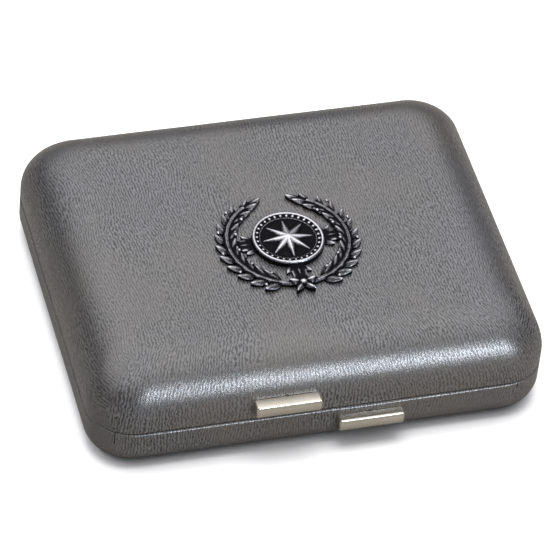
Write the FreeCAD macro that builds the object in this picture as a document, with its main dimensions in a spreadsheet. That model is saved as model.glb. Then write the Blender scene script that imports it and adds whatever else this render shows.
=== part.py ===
import FreeCAD, Part
import math
import os
import Sketcher
from FreeCAD import Vector

# Coin presentation box: a covered steel clamshell with a cam hinge at the rear.
# Millimetres. Z is up, the front is -Y, and the origin is the middle of the underside.

os.makedirs("parts", exist_ok=True)
doc = FreeCAD.newDocument("coin_box")

# Driving sizes
SIZES = (
    ("case_width", 102.0, "width over the covering"),
    ("case_depth", 84.5, "depth over the covering"),
    ("case_height", 25.2, "height of the closed case without the emblem"),
    ("seam_height", 10.8, "height of the middle of the seam, and of the hinge axis"),
    ("seam_gap", 0.3, "gap between the two rims when shut"),
    ("corner_radius", 10.2, "plan corner radius of the covering"),
    ("corner_squeeze", 0.39, "share of the shoulder that the plan corner loses towards the top"),
    ("lid_wall", 2.25, "straight wall of the lid above its rim"),
    ("lid_shoulder", 12.0, "width of the lid's rounding from wall to top"),
    ("base_round", 6.0, "rounding of the base from wall to underside"),
    ("skin_thick", 0.7, "leatherette covering"),
    ("steel_thick", 0.6, "shell sheet"),
    ("glue_line", 0.05, "gap left for glue between bonded faces"),
    ("rim_round", 0.5, "rounding of the covered rim"),
    ("tab_width", 14.7, "finger tab, along the front"),
    ("tab_depth", 2.4, "finger tab, out from the wall"),
    ("tab_height", 2.85, "finger tab, down its front face"),
    ("tab_thick", 0.5, "finger tab sheet"),
    ("tab_offset", 9.5, "each tab's middle, from the middle of the pair"),
    ("tab_shift", 0.5, "middle of the pair of tabs, to the right of the middle of the front"),
    ("lid_tab_rise", 5.6, "top of the lid tab above the seam"),
    ("base_tab_drop", 2.0, "top of the base tab below the seam"),
    ("tongue_width", 12.0, "part of the tab that passes through the wall"),
    ("slot_gap", 0.1, "clearance of the tongue in its slot"),
    ("flange_height", 2.7, "tab flange behind the wall"),
    ("barrel_radius", 1.5, "hinge knuckles"),
    ("barrel_gap", 0.3, "clearance between the knuckles and the rims"),
    ("pin_radius", 0.7, "hinge pin"),
    ("running_gap", 0.04, "radial clearance of the pin"),
    ("hinge_end", 0.8, "each end of the row of knuckles, from the start of the corner"),
    ("knuckle_gap", 0.3, "end gap between knuckles"),
    ("leaf_thick", 0.6, "hinge leaf sheet"),
    ("lid_leaf_rise", 3.2, "top of the lid leaf above the straight wall"),
    ("cam_flat", 1.1, "cam flats from the hinge axis"),
    ("cam_touch", 0.02, "gap between a cam flat and its spring"),
    ("open_angle", 95.0, "turn of the lid at its stop, in degrees"),
    ("spring_thick", 0.35, "cam spring strip"),
    ("spring_width", 7.0, "cam spring strip, along the hinge"),
    ("spring_reach", 1.0, "tip of the cam spring beyond the hinge axis"),
    ("rivet_radius", 0.8, "rivet shanks"),
    ("rivet_gap", 0.05, "clearance of the rivets in their holes"),
    ("rivet_head", 1.3, "rivet heads, radius"),
    ("rivet_head_thick", 0.4, "rivet heads"),
    ("board_thick", 1.0, "card boards"),
    ("pad_gap", 1.3, "pads from the folded covering"),
    ("board_gap", 0.4, "boards from the shell"),
    ("insert_drop", 0.95, "top of the insert below the base rim"),
    ("insert_round", 3.0, "rounding under the insert pad"),
    ("insert_edge", 1.0, "rounding of the top of the insert pad"),
    ("recess_radius", 23.8, "capsule recess"),
    ("recess_depth", 5.6, "capsule recess"),
    ("notch_radius", 8.5, "finger notch beside the recess"),
    ("notch_out", 22.5, "finger notch, middle in front of the recess middle"),
    ("lid_pad_thick", 3.2, "lid cushion, at its crown"),
    ("lid_pad_side", 0.9, "height of the lid cushion's side"),
    ("lid_pad_crown", 14.0, "width of the rise from side to crown"),
    ("lid_pad_draw", 0.5, "lid cushion's side, drawn in at the board"),
    ("lid_pad_squeeze", 0.2, "share of the rise that the cushion's plan corner loses"),
    ("pad_rise", 4.3, "underside of the lid board above the straight wall, for a round shoulder"),
    ("spacer_inset", 12.0, "card spacer in the lid, from the outside"),
    ("emblem_front", 5.0, "emblem middle, forward of the lid middle"),
    ("emblem_radius", 16.0, "outside of the wreath"),
    ("emblem_band", 5.2, "width of the wreath"),
    ("emblem_plate", 0.9, "ties and backing of the emblem"),
    ("emblem_wreath", 1.7, "height of the wreath"),
    ("emblem_boss", 8.0, "radius of the middle boss"),
    ("emblem_boss_high", 2.4, "height of the middle boss"),
    ("emblem_tie", 3.2, "width of the ties"),
    ("emblem_gap", 10.0, "opening between the branch tips"),
    ("post_radius", 1.0, "emblem posts"),
    ("post_spread", 10.0, "each post from the emblem middle"),
    ("post_length", 2.9, "emblem posts below the lid top"),
    ("post_gap", 0.1, "clearance of the posts in the lid"),
    ("nut_radius", 3.0, "push nuts on the posts"),
    ("nut_thick", 0.4, "push nuts"),
    ("nut_grip", 0.02, "gap between a nut and its post"),
    ("nut_room", 0.6, "clearance round the nuts in the spacer"),
)

sheet = doc.addObject("Spreadsheet::Sheet", "dims")
for row, (alias, size, note) in enumerate(SIZES, start=1):
    sheet.set(f"A{row}", alias)
    sheet.set(f"B{row}", str(size))
    sheet.setAlias(f"B{row}", alias)
    sheet.set(f"C{row}", note)
doc.recompute()

# Distances in from the outside of the covering
OUTSIDE = "0"
SKIN_IN = "dims.skin_thick"
STEEL_OUT = "(dims.skin_thick + dims.glue_line)"
STEEL_IN = "(dims.skin_thick + dims.glue_line + dims.steel_thick)"
TURN_OUT = "(dims.skin_thick + 2*dims.glue_line + dims.steel_thick)"
WALL = "(2*dims.skin_thick + 2*dims.glue_line + dims.steel_thick)"
LEAF_IN = f"({TURN_OUT} + dims.leaf_thick)"
PAD_IN = f"({WALL} + dims.pad_gap)"

# Heights
LID_RIM = "(dims.seam_height + dims.seam_gap/2)"
BASE_RIM = "(dims.seam_height - dims.seam_gap/2)"
LID_START = f"({LID_RIM} + dims.lid_wall)"
LID_RISE = f"(dims.case_height - {LID_START})"
LID_TAB_TOP = "(dims.seam_height + dims.lid_tab_rise)"
BASE_TAB_TOP = "(dims.seam_height - dims.base_tab_drop)"
INSERT_TOP = f"({BASE_RIM} - dims.insert_drop)"
INSERT_FLOOR = f"({STEEL_IN} + dims.glue_line)"
INSERT_BOTTOM = f"({INSERT_FLOOR} + dims.board_thick + dims.glue_line)"
PAD_TOP = f"({LID_START} + dims.pad_rise*{LID_RISE}/dims.lid_shoulder)"

# Hinge
REAR = "(dims.case_depth/2)"
FRONT = "(-dims.case_depth/2)"
AXIS_Y = f"({REAR} - dims.barrel_radius)"
AXIS_Z = "dims.seam_height"
CLEAR = "(dims.barrel_radius + dims.barrel_gap)"
HINGE_LENGTH = "(dims.case_width - 2*dims.corner_radius - 2*dims.hinge_end)"
KNUCKLES = 9
FIRST_CAM = 1
LAST_CAM = KNUCKLES - 1 - FIRST_CAM
PITCH = f"({HINGE_LENGTH}/{KNUCKLES})"
CAM_X = f"(3*{PITCH})"
SPRING_IN = f"({LEAF_IN} + dims.glue_line + dims.spring_thick)"
BASE_RIVET_Z = f"((dims.base_round + {AXIS_Z} - {CLEAR})/2)"
LID_RIVET_Z = f"({LID_START} + dims.lid_leaf_rise/2)"
LEAF_RIVETS_X = (f"(-4*{PITCH})", f"(-1.5*{PITCH})", f"(1.5*{PITCH})", f"(4*{PITCH})")


# Edges this close to a place lie on it
NEAR = 0.001


def number(text):
    """Value of an expression in the sheet's sizes."""
    return float(sheet.evalExpression(text))


def shell_inset(half, height):
    """Inset of a shell's inside at a height, in its straight wall or its rounding."""
    if half == "lid":
        wide, high = f"(dims.lid_shoulder - {STEEL_IN})", f"({LID_RISE} - {STEEL_IN})"
        along = f"max(0; {height} - {LID_START})"
    else:
        wide = high = f"(dims.base_round - {STEEL_IN})"
        along = f"max(0; dims.base_round - {height})"
    return f"({STEEL_IN} + {wide}*(1 - sqrt(1 - ({along}/{high})^2)))"


LID_FLANGE = f"({shell_inset('lid', LID_TAB_TOP)} + dims.glue_line)"
BASE_FLANGE = f"({shell_inset('base', f'({BASE_TAB_TOP} - dims.flange_height)')} + dims.glue_line)"
LEAF_TOP_Z = f"({LID_START} + dims.lid_leaf_rise)"
LID_LEAF_TOP = f"({shell_inset('lid', LEAF_TOP_Z)} + dims.glue_line)"
BOARD_TOP = f"({PAD_TOP} + dims.glue_line + dims.board_thick)"
LID_BOARD_IN = f"({shell_inset('lid', BOARD_TOP)} + dims.board_gap)"
LID_LEAF_LEAN = f"(({LID_LEAF_TOP} - {TURN_OUT})*(0.5 + dims.rivet_head/dims.lid_leaf_rise))"
LID_LEAF_FACE = f"({LEAF_IN} + {LID_LEAF_LEAN})"
LID_RIVET_OUT = f"({shell_inset('lid', LID_RIVET_Z)} - dims.steel_thick/2)"
LID_HEADS_IN = f"(max({LID_FLANGE} + dims.tab_thick; {LID_LEAF_FACE}) + dims.rivet_head_thick)"
LID_PAD_IN = f"max({PAD_IN}; max({shell_inset('lid', PAD_TOP)}; {LID_HEADS_IN}) + dims.board_gap)"


def new_body(name):
    """An empty body that may hold several solids."""
    body = doc.addObject("PartDesign::Body", name)
    body.Label = name
    body.AllowCompound = True
    return body


def new_sketch(body, name, role, offset):
    """A sketch on one of the body's own planes, moved along its normal."""
    sketch = body.newObject("Sketcher::SketchObject", name)
    plane = next(item for item in body.Origin.OriginFeatures if item.Role == role)
    sketch.AttachmentSupport = [(plane, "")]
    sketch.MapMode = "FlatFace"
    sketch.setExpression("AttachmentOffset.Base.z", offset)
    return sketch


def bind(sketch, name, constraint, expression):
    """Add a named constraint and tie it to the sheet."""
    index = sketch.addConstraint(constraint)
    sketch.renameConstraint(index, name)
    sketch.setExpression(f"Constraints.{name}", expression)


def rounded_rectangle(sketch, wide, deep, corner):
    """A rounded rectangle about the sketch's origin."""
    half_x = number(wide) / 2
    half_y = number(deep) / 2
    radius = number(corner)
    x = half_x - radius
    y = half_y - radius
    first = sketch.GeometryCount
    turn = math.pi / 2
    up = Vector(0, 0, 1)
    sketch.addGeometry(Part.LineSegment(Vector(-x, -half_y, 0), Vector(x, -half_y, 0)))
    sketch.addGeometry(Part.ArcOfCircle(Part.Circle(Vector(x, -y, 0), up, radius), -turn, 0))
    sketch.addGeometry(Part.LineSegment(Vector(half_x, -y, 0), Vector(half_x, y, 0)))
    sketch.addGeometry(Part.ArcOfCircle(Part.Circle(Vector(x, y, 0), up, radius), 0, turn))
    sketch.addGeometry(Part.LineSegment(Vector(x, half_y, 0), Vector(-x, half_y, 0)))
    sketch.addGeometry(Part.ArcOfCircle(Part.Circle(Vector(-x, y, 0), up, radius), turn, 2 * turn))
    sketch.addGeometry(Part.LineSegment(Vector(-half_x, y, 0), Vector(-half_x, -y, 0)))
    sketch.addGeometry(Part.ArcOfCircle(Part.Circle(Vector(-x, -y, 0), up, radius), 2 * turn, 3 * turn))
    for step in range(8):
        joined = first + (step + 1) % 8
        sketch.addConstraint(Sketcher.Constraint("Tangent", first + step, 2, joined, 1))
    sketch.addConstraint(Sketcher.Constraint("Horizontal", first + 4))
    sketch.addConstraint(Sketcher.Constraint("Vertical", first + 6))
    for arc in (3, 5, 7):
        sketch.addConstraint(Sketcher.Constraint("Equal", first + 1, first + arc))
    sketch.addConstraint(Sketcher.Constraint("Symmetric", first, 1, first, 2, -2))
    sketch.addConstraint(Sketcher.Constraint("Symmetric", first + 2, 1, first + 2, 2, -1))
    across = Sketcher.Constraint("DistanceX", first + 7, 1, first + 1, 2, 2 * half_x)
    bind(sketch, f"wide{first}", across, wide)
    along = Sketcher.Constraint("DistanceY", first + 1, 1, first + 3, 2, 2 * half_y)
    bind(sketch, f"deep{first}", along, deep)
    bind(sketch, f"corner{first}", Sketcher.Constraint("Radius", first + 1, radius), corner)


def outline(sketch, points):
    """A closed outline through points given as pairs of expressions."""
    places = [Vector(number(x), number(y), 0) for x, y in points]
    count = len(points)
    first = sketch.GeometryCount
    for step in range(count):
        sketch.addGeometry(Part.LineSegment(places[step], places[(step + 1) % count]))
    for step in range(count):
        joined = first + (step + 1) % count
        sketch.addConstraint(Sketcher.Constraint("Coincident", first + step, 2, joined, 1))
    for step, (x, y) in enumerate(points):
        line = first + step
        across = Sketcher.Constraint("DistanceX", -1, 1, line, 1, places[step].x)
        bind(sketch, f"across{line}", across, x)
        along = Sketcher.Constraint("DistanceY", -1, 1, line, 1, places[step].y)
        bind(sketch, f"along{line}", along, y)


def rectangle(sketch, left, right, low, high):
    """A rectangle between four expressions."""
    outline(sketch, [(left, low), (right, low), (right, high), (left, high)])


def circle(sketch, x, y, radius):
    """A circle placed and sized by expressions."""
    middle = Vector(number(x), number(y), 0)
    index = sketch.addGeometry(Part.Circle(middle, Vector(0, 0, 1), number(radius)))
    bind(sketch, f"across{index}", Sketcher.Constraint("DistanceX", -1, 1, index, 3, middle.x), x)
    bind(sketch, f"along{index}", Sketcher.Constraint("DistanceY", -1, 1, index, 3, middle.y), y)
    bind(sketch, f"radius{index}", Sketcher.Constraint("Radius", index, number(radius)), radius)


def extrude(body, kind, name, sketch, length, back=False, middle=False):
    """A Pad or Pocket; a pad runs along the sketch normal and a pocket against it."""
    feature = body.newObject(f"PartDesign::{kind}", name)
    feature.Profile = sketch
    feature.setExpression("Length", length)
    feature.Reversed = back
    if middle:
        feature.SideType = "Symmetric"
    before = body.Shape.Volume if body.Shape and not body.Shape.isNull() else 0.0
    doc.recompute()
    changed = body.Shape.Volume - before
    if (kind == "Pad") != (changed > 0) or abs(changed) < NEAR:
        raise RuntimeError(f"{name} changed the volume by {changed}")
    return feature


def block(body, kind, name, x_span, y_span, z_span):
    """A box between expressions, drawn in plan."""
    sketch = new_sketch(body, f"{name}_plan", "XY_Plane", z_span[0])
    rectangle(sketch, x_span[0], x_span[1], y_span[0], y_span[1])
    return extrude(body, kind, name, sketch, f"{z_span[1]} - {z_span[0]}", back=kind == "Pocket")


def holes_along_y(body, name, spots, radius, start, length):
    """Round holes along +Y from a plane at start."""
    sketch = new_sketch(body, f"{name}_spots", "XZ_Plane", f"-({start})")
    for x, z in spots:
        circle(sketch, x, z, radius)
    return extrude(body, "Pocket", name, sketch, length)


def rods_along_y(body, name, spots, radius, start, length):
    """Round rods along +Y from a plane at start."""
    sketch = new_sketch(body, f"{name}_spots", "XZ_Plane", f"-({start})")
    for x, z in spots:
        circle(sketch, x, z, radius)
    return extrude(body, "Pad", name, sketch, length, back=True)


def level(body, name, inset, corner, height):
    """A sketch of the plan outline at an inset and a height."""
    sketch = new_sketch(body, name, "XY_Plane", height)
    rounded_rectangle(sketch, f"dims.case_width - 2*{inset}", f"dims.case_depth - 2*{inset}", corner)
    return sketch


def form(body, name, cut, inset, rim, half):
    """Add or cut the rounded form of one half, at an inset from the outside."""
    if half == "lid":
        start, sign, squeeze = LID_START, "+", "dims.corner_squeeze"
        wide, high = "dims.lid_shoulder", LID_RISE
    else:
        start, sign, squeeze = "dims.base_round", "-", "1"
        wide = high = "dims.base_round"
    sections = []
    for turn in range(0, 91, 15):
        inward = f"(({wide} - {inset})*(1 - cos({turn} deg)))"
        height = f"{start} {sign} ({high} - {inset})*sin({turn} deg)"
        corner = f"dims.corner_radius - {inset} - {squeeze}*{inward}"
        sections.append(level(body, f"{name}_{turn}", f"({inset} + {inward})", corner, height))
    loft = body.newObject("PartDesign::SubtractiveLoft" if cut else "PartDesign::AdditiveLoft", f"{name}_round")
    loft.Profile = sections[0]
    loft.Sections = sections[1:]
    doc.recompute()
    kind = "Pocket" if cut else "Pad"
    length = f"{start} - ({rim})" if half == "lid" else f"({rim}) - {start}"
    back = (half == "lid") != cut
    return extrude(body, kind, f"{name}_wall", sections[0], length, back=back)


def round_edges(body, name, feature, chosen, radius):
    """Fillet the edges of a feature that a test picks."""
    edges = [f"Edge{index}" for index, edge in enumerate(feature.Shape.Edges, start=1) if chosen(edge)]
    fillet = body.newObject("PartDesign::Fillet", name)
    fillet.Base = (feature, edges)
    fillet.setExpression("Radius", radius)
    doc.recompute()
    return fillet


def at_height(height):
    """A test for edges that lie at one height."""
    place = number(height)
    return lambda edge: abs(edge.BoundBox.ZMin - place) < NEAR and abs(edge.BoundBox.ZMax - place) < NEAR


def tab_spot(half):
    """Middle, top and flange inset of a finger tab."""
    if half == "lid":
        return "(dims.tab_shift - dims.tab_offset)", LID_TAB_TOP, LID_FLANGE
    return "(dims.tab_shift + dims.tab_offset)", BASE_TAB_TOP, BASE_FLANGE


def tab_rivet_spots(half):
    """Middles of the two rivets of a finger tab."""
    middle, top, flange = tab_spot(half)
    height = f"({top} - dims.flange_height/2 - dims.tab_thick/2)"
    return [(f"({middle} {sign} dims.tongue_width/3)", height) for sign in "-+"]


def leaf_rivet_spots(half):
    """Middles of the hinge leaf rivets of one half."""
    height = LID_RIVET_Z if half == "lid" else BASE_RIVET_Z
    return [(x, height) for x in LEAF_RIVETS_X]


def spring_rivet_spots():
    """Middles of the cam spring rivets."""
    return [(f"(-{CAM_X})", BASE_RIVET_Z), (CAM_X, BASE_RIVET_Z)]


def post_spots():
    """Middles of the emblem posts."""
    return [("(-dims.post_spread)", "(-dims.emblem_front)"), ("dims.post_spread", "(-dims.emblem_front)")]


def cut_hinge_gap(body):
    """Clear both rims round the hinge barrel."""
    sketch = new_sketch(body, "hinge_gap_side", "YZ_Plane", "0")
    low = f"{AXIS_Z} - {CLEAR}"
    high = f"{AXIS_Z} + {CLEAR}"
    rectangle(sketch, f"{AXIS_Y} - {CLEAR}", f"{REAR} + {CLEAR}", low, high)
    extrude(body, "Pocket", "hinge_gap", sketch, "dims.case_width", middle=True)


def cut_tab_slot(body, half):
    """Slot for the tongue of a finger tab."""
    middle, top, flange = tab_spot(half)
    half_width = "(dims.tongue_width/2 + dims.slot_gap)"
    x_span = (f"{middle} - {half_width}", f"{middle} + {half_width}")
    y_span = (f"{FRONT} - dims.tab_depth", f"{FRONT} + {flange} + dims.tab_thick")
    z_span = (f"({top} - dims.tab_thick - dims.slot_gap)", f"({top} + dims.slot_gap)")
    block(body, "Pocket", "tab_slot", x_span, y_span, z_span)


def cut_posts(body, low, high):
    """Holes for the emblem posts."""
    sketch = new_sketch(body, "post_spots", "XY_Plane", low)
    for x, y in post_spots():
        circle(sketch, x, y, "dims.post_radius + dims.post_gap")
    extrude(body, "Pocket", "post_holes", sketch, f"{high} - {low}", back=True)


def cut_shell_rivets(body, half):
    """Rivet holes through the front and rear walls of a shell."""
    radius = "dims.rivet_radius + dims.rivet_gap"
    middle, top, flange = tab_spot(half)
    holes_along_y(body, "tab_holes", tab_rivet_spots(half), radius, FRONT, f"{flange} + dims.tab_thick")
    spots = leaf_rivet_spots(half)
    depth = f"({LID_LEAF_TOP} + dims.leaf_thick)"
    if half == "base":
        spots = spots + spring_rivet_spots()
        depth = SPRING_IN
    holes_along_y(body, "leaf_holes", spots, radius, f"{REAR} - {depth}", depth)


def leatherette(half):
    """The covering of one half, folded over the rim and turned in."""
    body = new_body(f"{half}_leatherette")
    rim = LID_RIM if half == "lid" else BASE_RIM
    inner_rim = f"{rim} + dims.skin_thick" if half == "lid" else f"{rim} - dims.skin_thick"
    fold_mid = f"{rim} + dims.skin_thick/2" if half == "lid" else f"{rim} - dims.skin_thick/2"
    wall = form(body, "outside", False, OUTSIDE, rim, half)
    round_edges(body, "rim_rounding", wall, at_height(rim), "dims.rim_round")
    form(body, "inside", True, SKIN_IN, inner_rim, half)
    opening = level(body, "opening_plan", WALL, f"dims.corner_radius - {WALL}", rim)
    extrude(body, "Pocket", "opening", opening, "2*dims.skin_thick", back=half == "lid")
    ring = level(body, "turn_in_plan", TURN_OUT, f"dims.corner_radius - {TURN_OUT}", fold_mid)
    rounded_rectangle(
        ring, f"dims.case_width - 2*{WALL}", f"dims.case_depth - 2*{WALL}", f"dims.corner_radius - {WALL}"
    )
    if half == "lid":
        reach = f"min({LID_START}; {LID_TAB_TOP} - dims.flange_height) - dims.glue_line - ({fold_mid})"
    else:
        reach = f"{fold_mid} - dims.base_round - dims.glue_line"
    extrude(body, "Pad", "turn_in", ring, reach, back=half == "base")
    cut_hinge_gap(body)
    half_leaf = f"({HINGE_LENGTH}/2 + dims.knuckle_gap)"
    y_span = (f"{REAR} - {WALL} - dims.skin_thick", f"{REAR} - {STEEL_IN}")
    low = f"{AXIS_Z} + {CLEAR}/2" if half == "lid" else "dims.base_round"
    high = LID_START if half == "lid" else f"{AXIS_Z} - {CLEAR}/2"
    block(body, "Pocket", "leaf_room", (f"-{half_leaf}", half_leaf), y_span, (low, high))
    cut_tab_slot(body, half)
    if half == "base":
        middle, top, flange = tab_spot(half)
        half_width = "(dims.tongue_width/2 + 3*dims.slot_gap)"
        x_span = (f"{middle} - {half_width}", f"{middle} + {half_width}")
        y_span = (f"{FRONT} + {STEEL_IN}", f"{FRONT} + {WALL} + dims.skin_thick")
        z_span = ("dims.base_round", f"({top} + 2*dims.slot_gap)")
        block(body, "Pocket", "flange_room", x_span, y_span, z_span)
    else:
        cut_posts(body, "(dims.case_height - 2*dims.skin_thick)", "(dims.case_height + dims.skin_thick)")


def shell(half):
    """The steel shell of one half."""
    body = new_body(f"{half}_shell")
    if half == "lid":
        rim = f"{LID_RIM} + {STEEL_OUT}"
        beyond = f"{LID_RIM} - {STEEL_OUT}"
    else:
        rim = f"{BASE_RIM} - {STEEL_OUT}"
        beyond = f"{BASE_RIM} + {STEEL_OUT}"
    form(body, "outside", False, STEEL_OUT, rim, half)
    form(body, "inside", True, STEEL_IN, beyond, half)
    cut_hinge_gap(body)
    cut_tab_slot(body, half)
    cut_shell_rivets(body, half)
    if half == "lid":
        cut_posts(body, f"(dims.case_height - 2*{STEEL_IN})", "dims.case_height")


def finger_tab(half):
    """A pressed finger tab with closed ends, a tongue and a riveted flange."""
    body = new_body(f"{half}_tab")
    middle, top, flange = tab_spot(half)
    low = f"({top} - dims.tab_height)"
    under = f"({top} - dims.tab_thick)"
    outer = f"({FRONT} - dims.tab_depth)"
    back = f"({FRONT} - dims.glue_line)"
    x_span = (f"{middle} - dims.tab_width/2", f"{middle} + dims.tab_width/2")
    cap = block(body, "Pad", "cap", x_span, (outer, back), (low, top))
    front = number(outer)
    high = number(top)

    def outer_edges(edge):
        box = edge.BoundBox
        at_front = abs(box.YMin - front) < NEAR and abs(box.YMax - front) < NEAR
        on_top = abs(box.ZMin - high) < NEAR and abs(box.ZMax - high) < NEAR
        upright = box.ZLength > number("dims.tab_thick")
        inward = box.YLength > number("dims.tab_thick")
        return at_front and (on_top or upright) or on_top and inward

    round_edges(body, "bends", cap, outer_edges, "dims.tab_thick")
    inner_x = ("dims.tab_width/2 - dims.tab_thick", f"{outer} + dims.tab_thick")
    x_span = (f"{middle} - ({inner_x[0]})", f"{middle} + ({inner_x[0]})")
    block(body, "Pocket", "hollow", x_span, (inner_x[1], f"{FRONT} + dims.tab_thick"), (low, under))
    x_span = (f"{middle} - dims.tongue_width/2", f"{middle} + dims.tongue_width/2")
    flange_in = f"({FRONT} + {flange} + dims.tab_thick)"
    block(body, "Pad", "tongue", x_span, (f"{FRONT} - dims.tab_depth/2", flange_in), (under, top))
    flange_low = f"({top} - dims.flange_height)"
    block(body, "Pad", "flange", x_span, (f"{FRONT} + {flange}", flange_in), (flange_low, top))
    radius = "dims.rivet_radius + dims.rivet_gap"
    holes_along_y(body, "rivet_holes", tab_rivet_spots(half), radius, FRONT, f"{flange} + 2*dims.tab_thick")


def tab_rivets(half):
    """Two rivets that hold a finger tab's flange to the shell."""
    body = new_body(f"{half}_tab_rivets")
    middle, top, flange = tab_spot(half)
    if half == "lid":
        outer = f"({shell_inset('lid', LID_TAB_TOP)} - dims.steel_thick)"
    else:
        outer = STEEL_OUT
    face = f"({flange} + dims.tab_thick)"
    spots = tab_rivet_spots(half)
    rods_along_y(body, "shanks", spots, "dims.rivet_radius", f"{FRONT} + {outer}", f"{face} - {outer}")
    rods_along_y(body, "heads", spots, "dims.rivet_head", f"{FRONT} + {face}", "dims.rivet_head_thick")


def knuckle_span(place):
    """Ends of one knuckle along X."""
    start = f"(-{HINGE_LENGTH}/2 + {place}*{PITCH} + dims.knuckle_gap/2)"
    return start, f"({start} + {PITCH} - dims.knuckle_gap)"


def cut_cam_flat(body, name, place, turn):
    """A flat on one knuckle that faces straight down when the lid has turned this far."""
    start, end = knuckle_span(place)
    out = (f"sin({turn} * 1 deg)", f"(-cos({turn} * 1 deg))")
    side = (f"cos({turn} * 1 deg)", f"sin({turn} * 1 deg)")
    far = "(2*dims.barrel_radius)"
    points = []
    for away, across in (("dims.cam_flat", f"-{far}"), (far, f"-{far}"), (far, far), ("dims.cam_flat", far)):
        y = f"{AXIS_Y} + {away}*{out[0]} + ({across})*{side[0]}"
        z = f"{AXIS_Z} + {away}*{out[1]} + ({across})*{side[1]}"
        points.append((y, z))
    sketch = new_sketch(body, f"{name}_end", "YZ_Plane", end)
    outline(sketch, points)
    extrude(body, "Pocket", name, sketch, f"{PITCH} - dims.knuckle_gap")


def hinge_leaf(half):
    """A hinge leaf with every second knuckle."""
    body = new_body(f"{half}_hinge_leaf")
    outer = f"({REAR} - {TURN_OUT})"
    inner = f"({REAR} - {LEAF_IN})"
    sketch = new_sketch(body, "leaf_side", "YZ_Plane", "0")
    if half == "lid":
        outer_top = f"({REAR} - {LID_LEAF_TOP})"
        points = [(inner, AXIS_Z), (outer, AXIS_Z), (outer, LID_START), (outer_top, LEAF_TOP_Z)]
        points += [(f"({outer_top} - dims.leaf_thick)", LEAF_TOP_Z), (inner, LID_START)]
        outline(sketch, points)
    else:
        low = "(dims.base_round + dims.glue_line)"
        rectangle(sketch, inner, outer, low, AXIS_Z)
    extrude(body, "Pad", "leaf", sketch, f"{HINGE_LENGTH} - dims.knuckle_gap", middle=True)
    own = 1 if half == "lid" else 0
    for place in range(KNUCKLES):
        start, end = knuckle_span(place)
        if place % 2 == own:
            sketch = new_sketch(body, f"knuckle{place}_end", "YZ_Plane", start)
            circle(sketch, AXIS_Y, AXIS_Z, "dims.barrel_radius")
            extrude(body, "Pad", f"knuckle{place}", sketch, f"{PITCH} - dims.knuckle_gap")
        else:
            x_span = (f"{start} - dims.knuckle_gap", f"{end} + dims.knuckle_gap")
            z_span = (f"({AXIS_Z} - {CLEAR})", f"({AXIS_Z} + {CLEAR})")
            y_span = (f"{AXIS_Y} - {CLEAR}", f"{AXIS_Y} + {CLEAR}")
            block(body, "Pocket", f"room{place}", x_span, y_span, z_span)
    if half == "lid":
        for place in (FIRST_CAM, LAST_CAM):
            cut_cam_flat(body, f"shut_flat{place}", place, "0")
            cut_cam_flat(body, f"open_flat{place}", place, "dims.open_angle")
    sketch = new_sketch(body, "bore_end", "YZ_Plane", "0")
    circle(sketch, AXIS_Y, AXIS_Z, "dims.pin_radius + dims.running_gap")
    extrude(body, "Pocket", "bore", sketch, f"2*{HINGE_LENGTH}", middle=True)
    spots = leaf_rivet_spots(half)
    if half == "base":
        spots = spots + spring_rivet_spots()
    reach = f"({LEAF_IN} + 2*dims.leaf_thick)"
    holes_along_y(body, "rivet_holes", spots, "dims.rivet_radius + dims.rivet_gap", f"{REAR} - {reach}", reach)


def wall_rivets(name, spots, face, outer):
    """Rivets from just inside a shell's rear wall to heads on an inner face."""
    body = new_body(name)
    rods_along_y(body, "shanks", spots, "dims.rivet_radius", f"{REAR} - {face}", f"{face} - {outer}")
    start = f"{REAR} - {face} - dims.rivet_head_thick"
    rods_along_y(body, "heads", spots, "dims.rivet_head", start, "dims.rivet_head_thick")


def cam_springs():
    """Two bent strips that press on the cam flats."""
    body = new_body("cam_springs")
    inner = f"({REAR} - {SPRING_IN})"
    outer = f"({inner} + dims.spring_thick)"
    tip = f"({AXIS_Y} + dims.spring_reach)"
    top = f"({AXIS_Z} - dims.cam_flat - dims.cam_touch)"
    under = f"({top} - dims.spring_thick)"
    low = "(dims.base_round + 2*dims.glue_line)"
    points = [(inner, low), (outer, low), (outer, under), (tip, under), (tip, top), (inner, top)]
    for name, x in (("left", f"-{CAM_X}"), ("right", CAM_X)):
        sketch = new_sketch(body, f"{name}_side", "YZ_Plane", f"{x} - dims.spring_width/2")
        outline(sketch, points)
        extrude(body, "Pad", name, sketch, "dims.spring_width")
    radius = "dims.rivet_radius + dims.rivet_gap"
    reach = "4*dims.spring_thick"
    holes_along_y(body, "rivet_holes", spring_rivet_spots(), radius, f"{inner} - dims.spring_thick", reach)


def hinge_pin():
    """The pin through all the knuckles."""
    pin = doc.addObject("Part::Cylinder", "hinge_pin")
    pin.Label = "hinge_pin"
    pin.setExpression("Radius", "dims.pin_radius")
    pin.setExpression("Height", HINGE_LENGTH)
    pin.Placement.Rotation = FreeCAD.Rotation(Vector(0, 1, 0), 90)
    pin.setExpression("Placement.Base.x", f"-{HINGE_LENGTH}/2")
    pin.setExpression("Placement.Base.y", AXIS_Y)
    pin.setExpression("Placement.Base.z", AXIS_Z)


def insert_board():
    """Card under the insert pad."""
    body = new_body("insert_board")
    inset = f"({shell_inset('base', INSERT_FLOOR)} + dims.board_gap)"
    plan = level(body, "plan", inset, f"dims.corner_radius - {inset}", INSERT_FLOOR)
    extrude(body, "Pad", "board", plan, "dims.board_thick")


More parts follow.
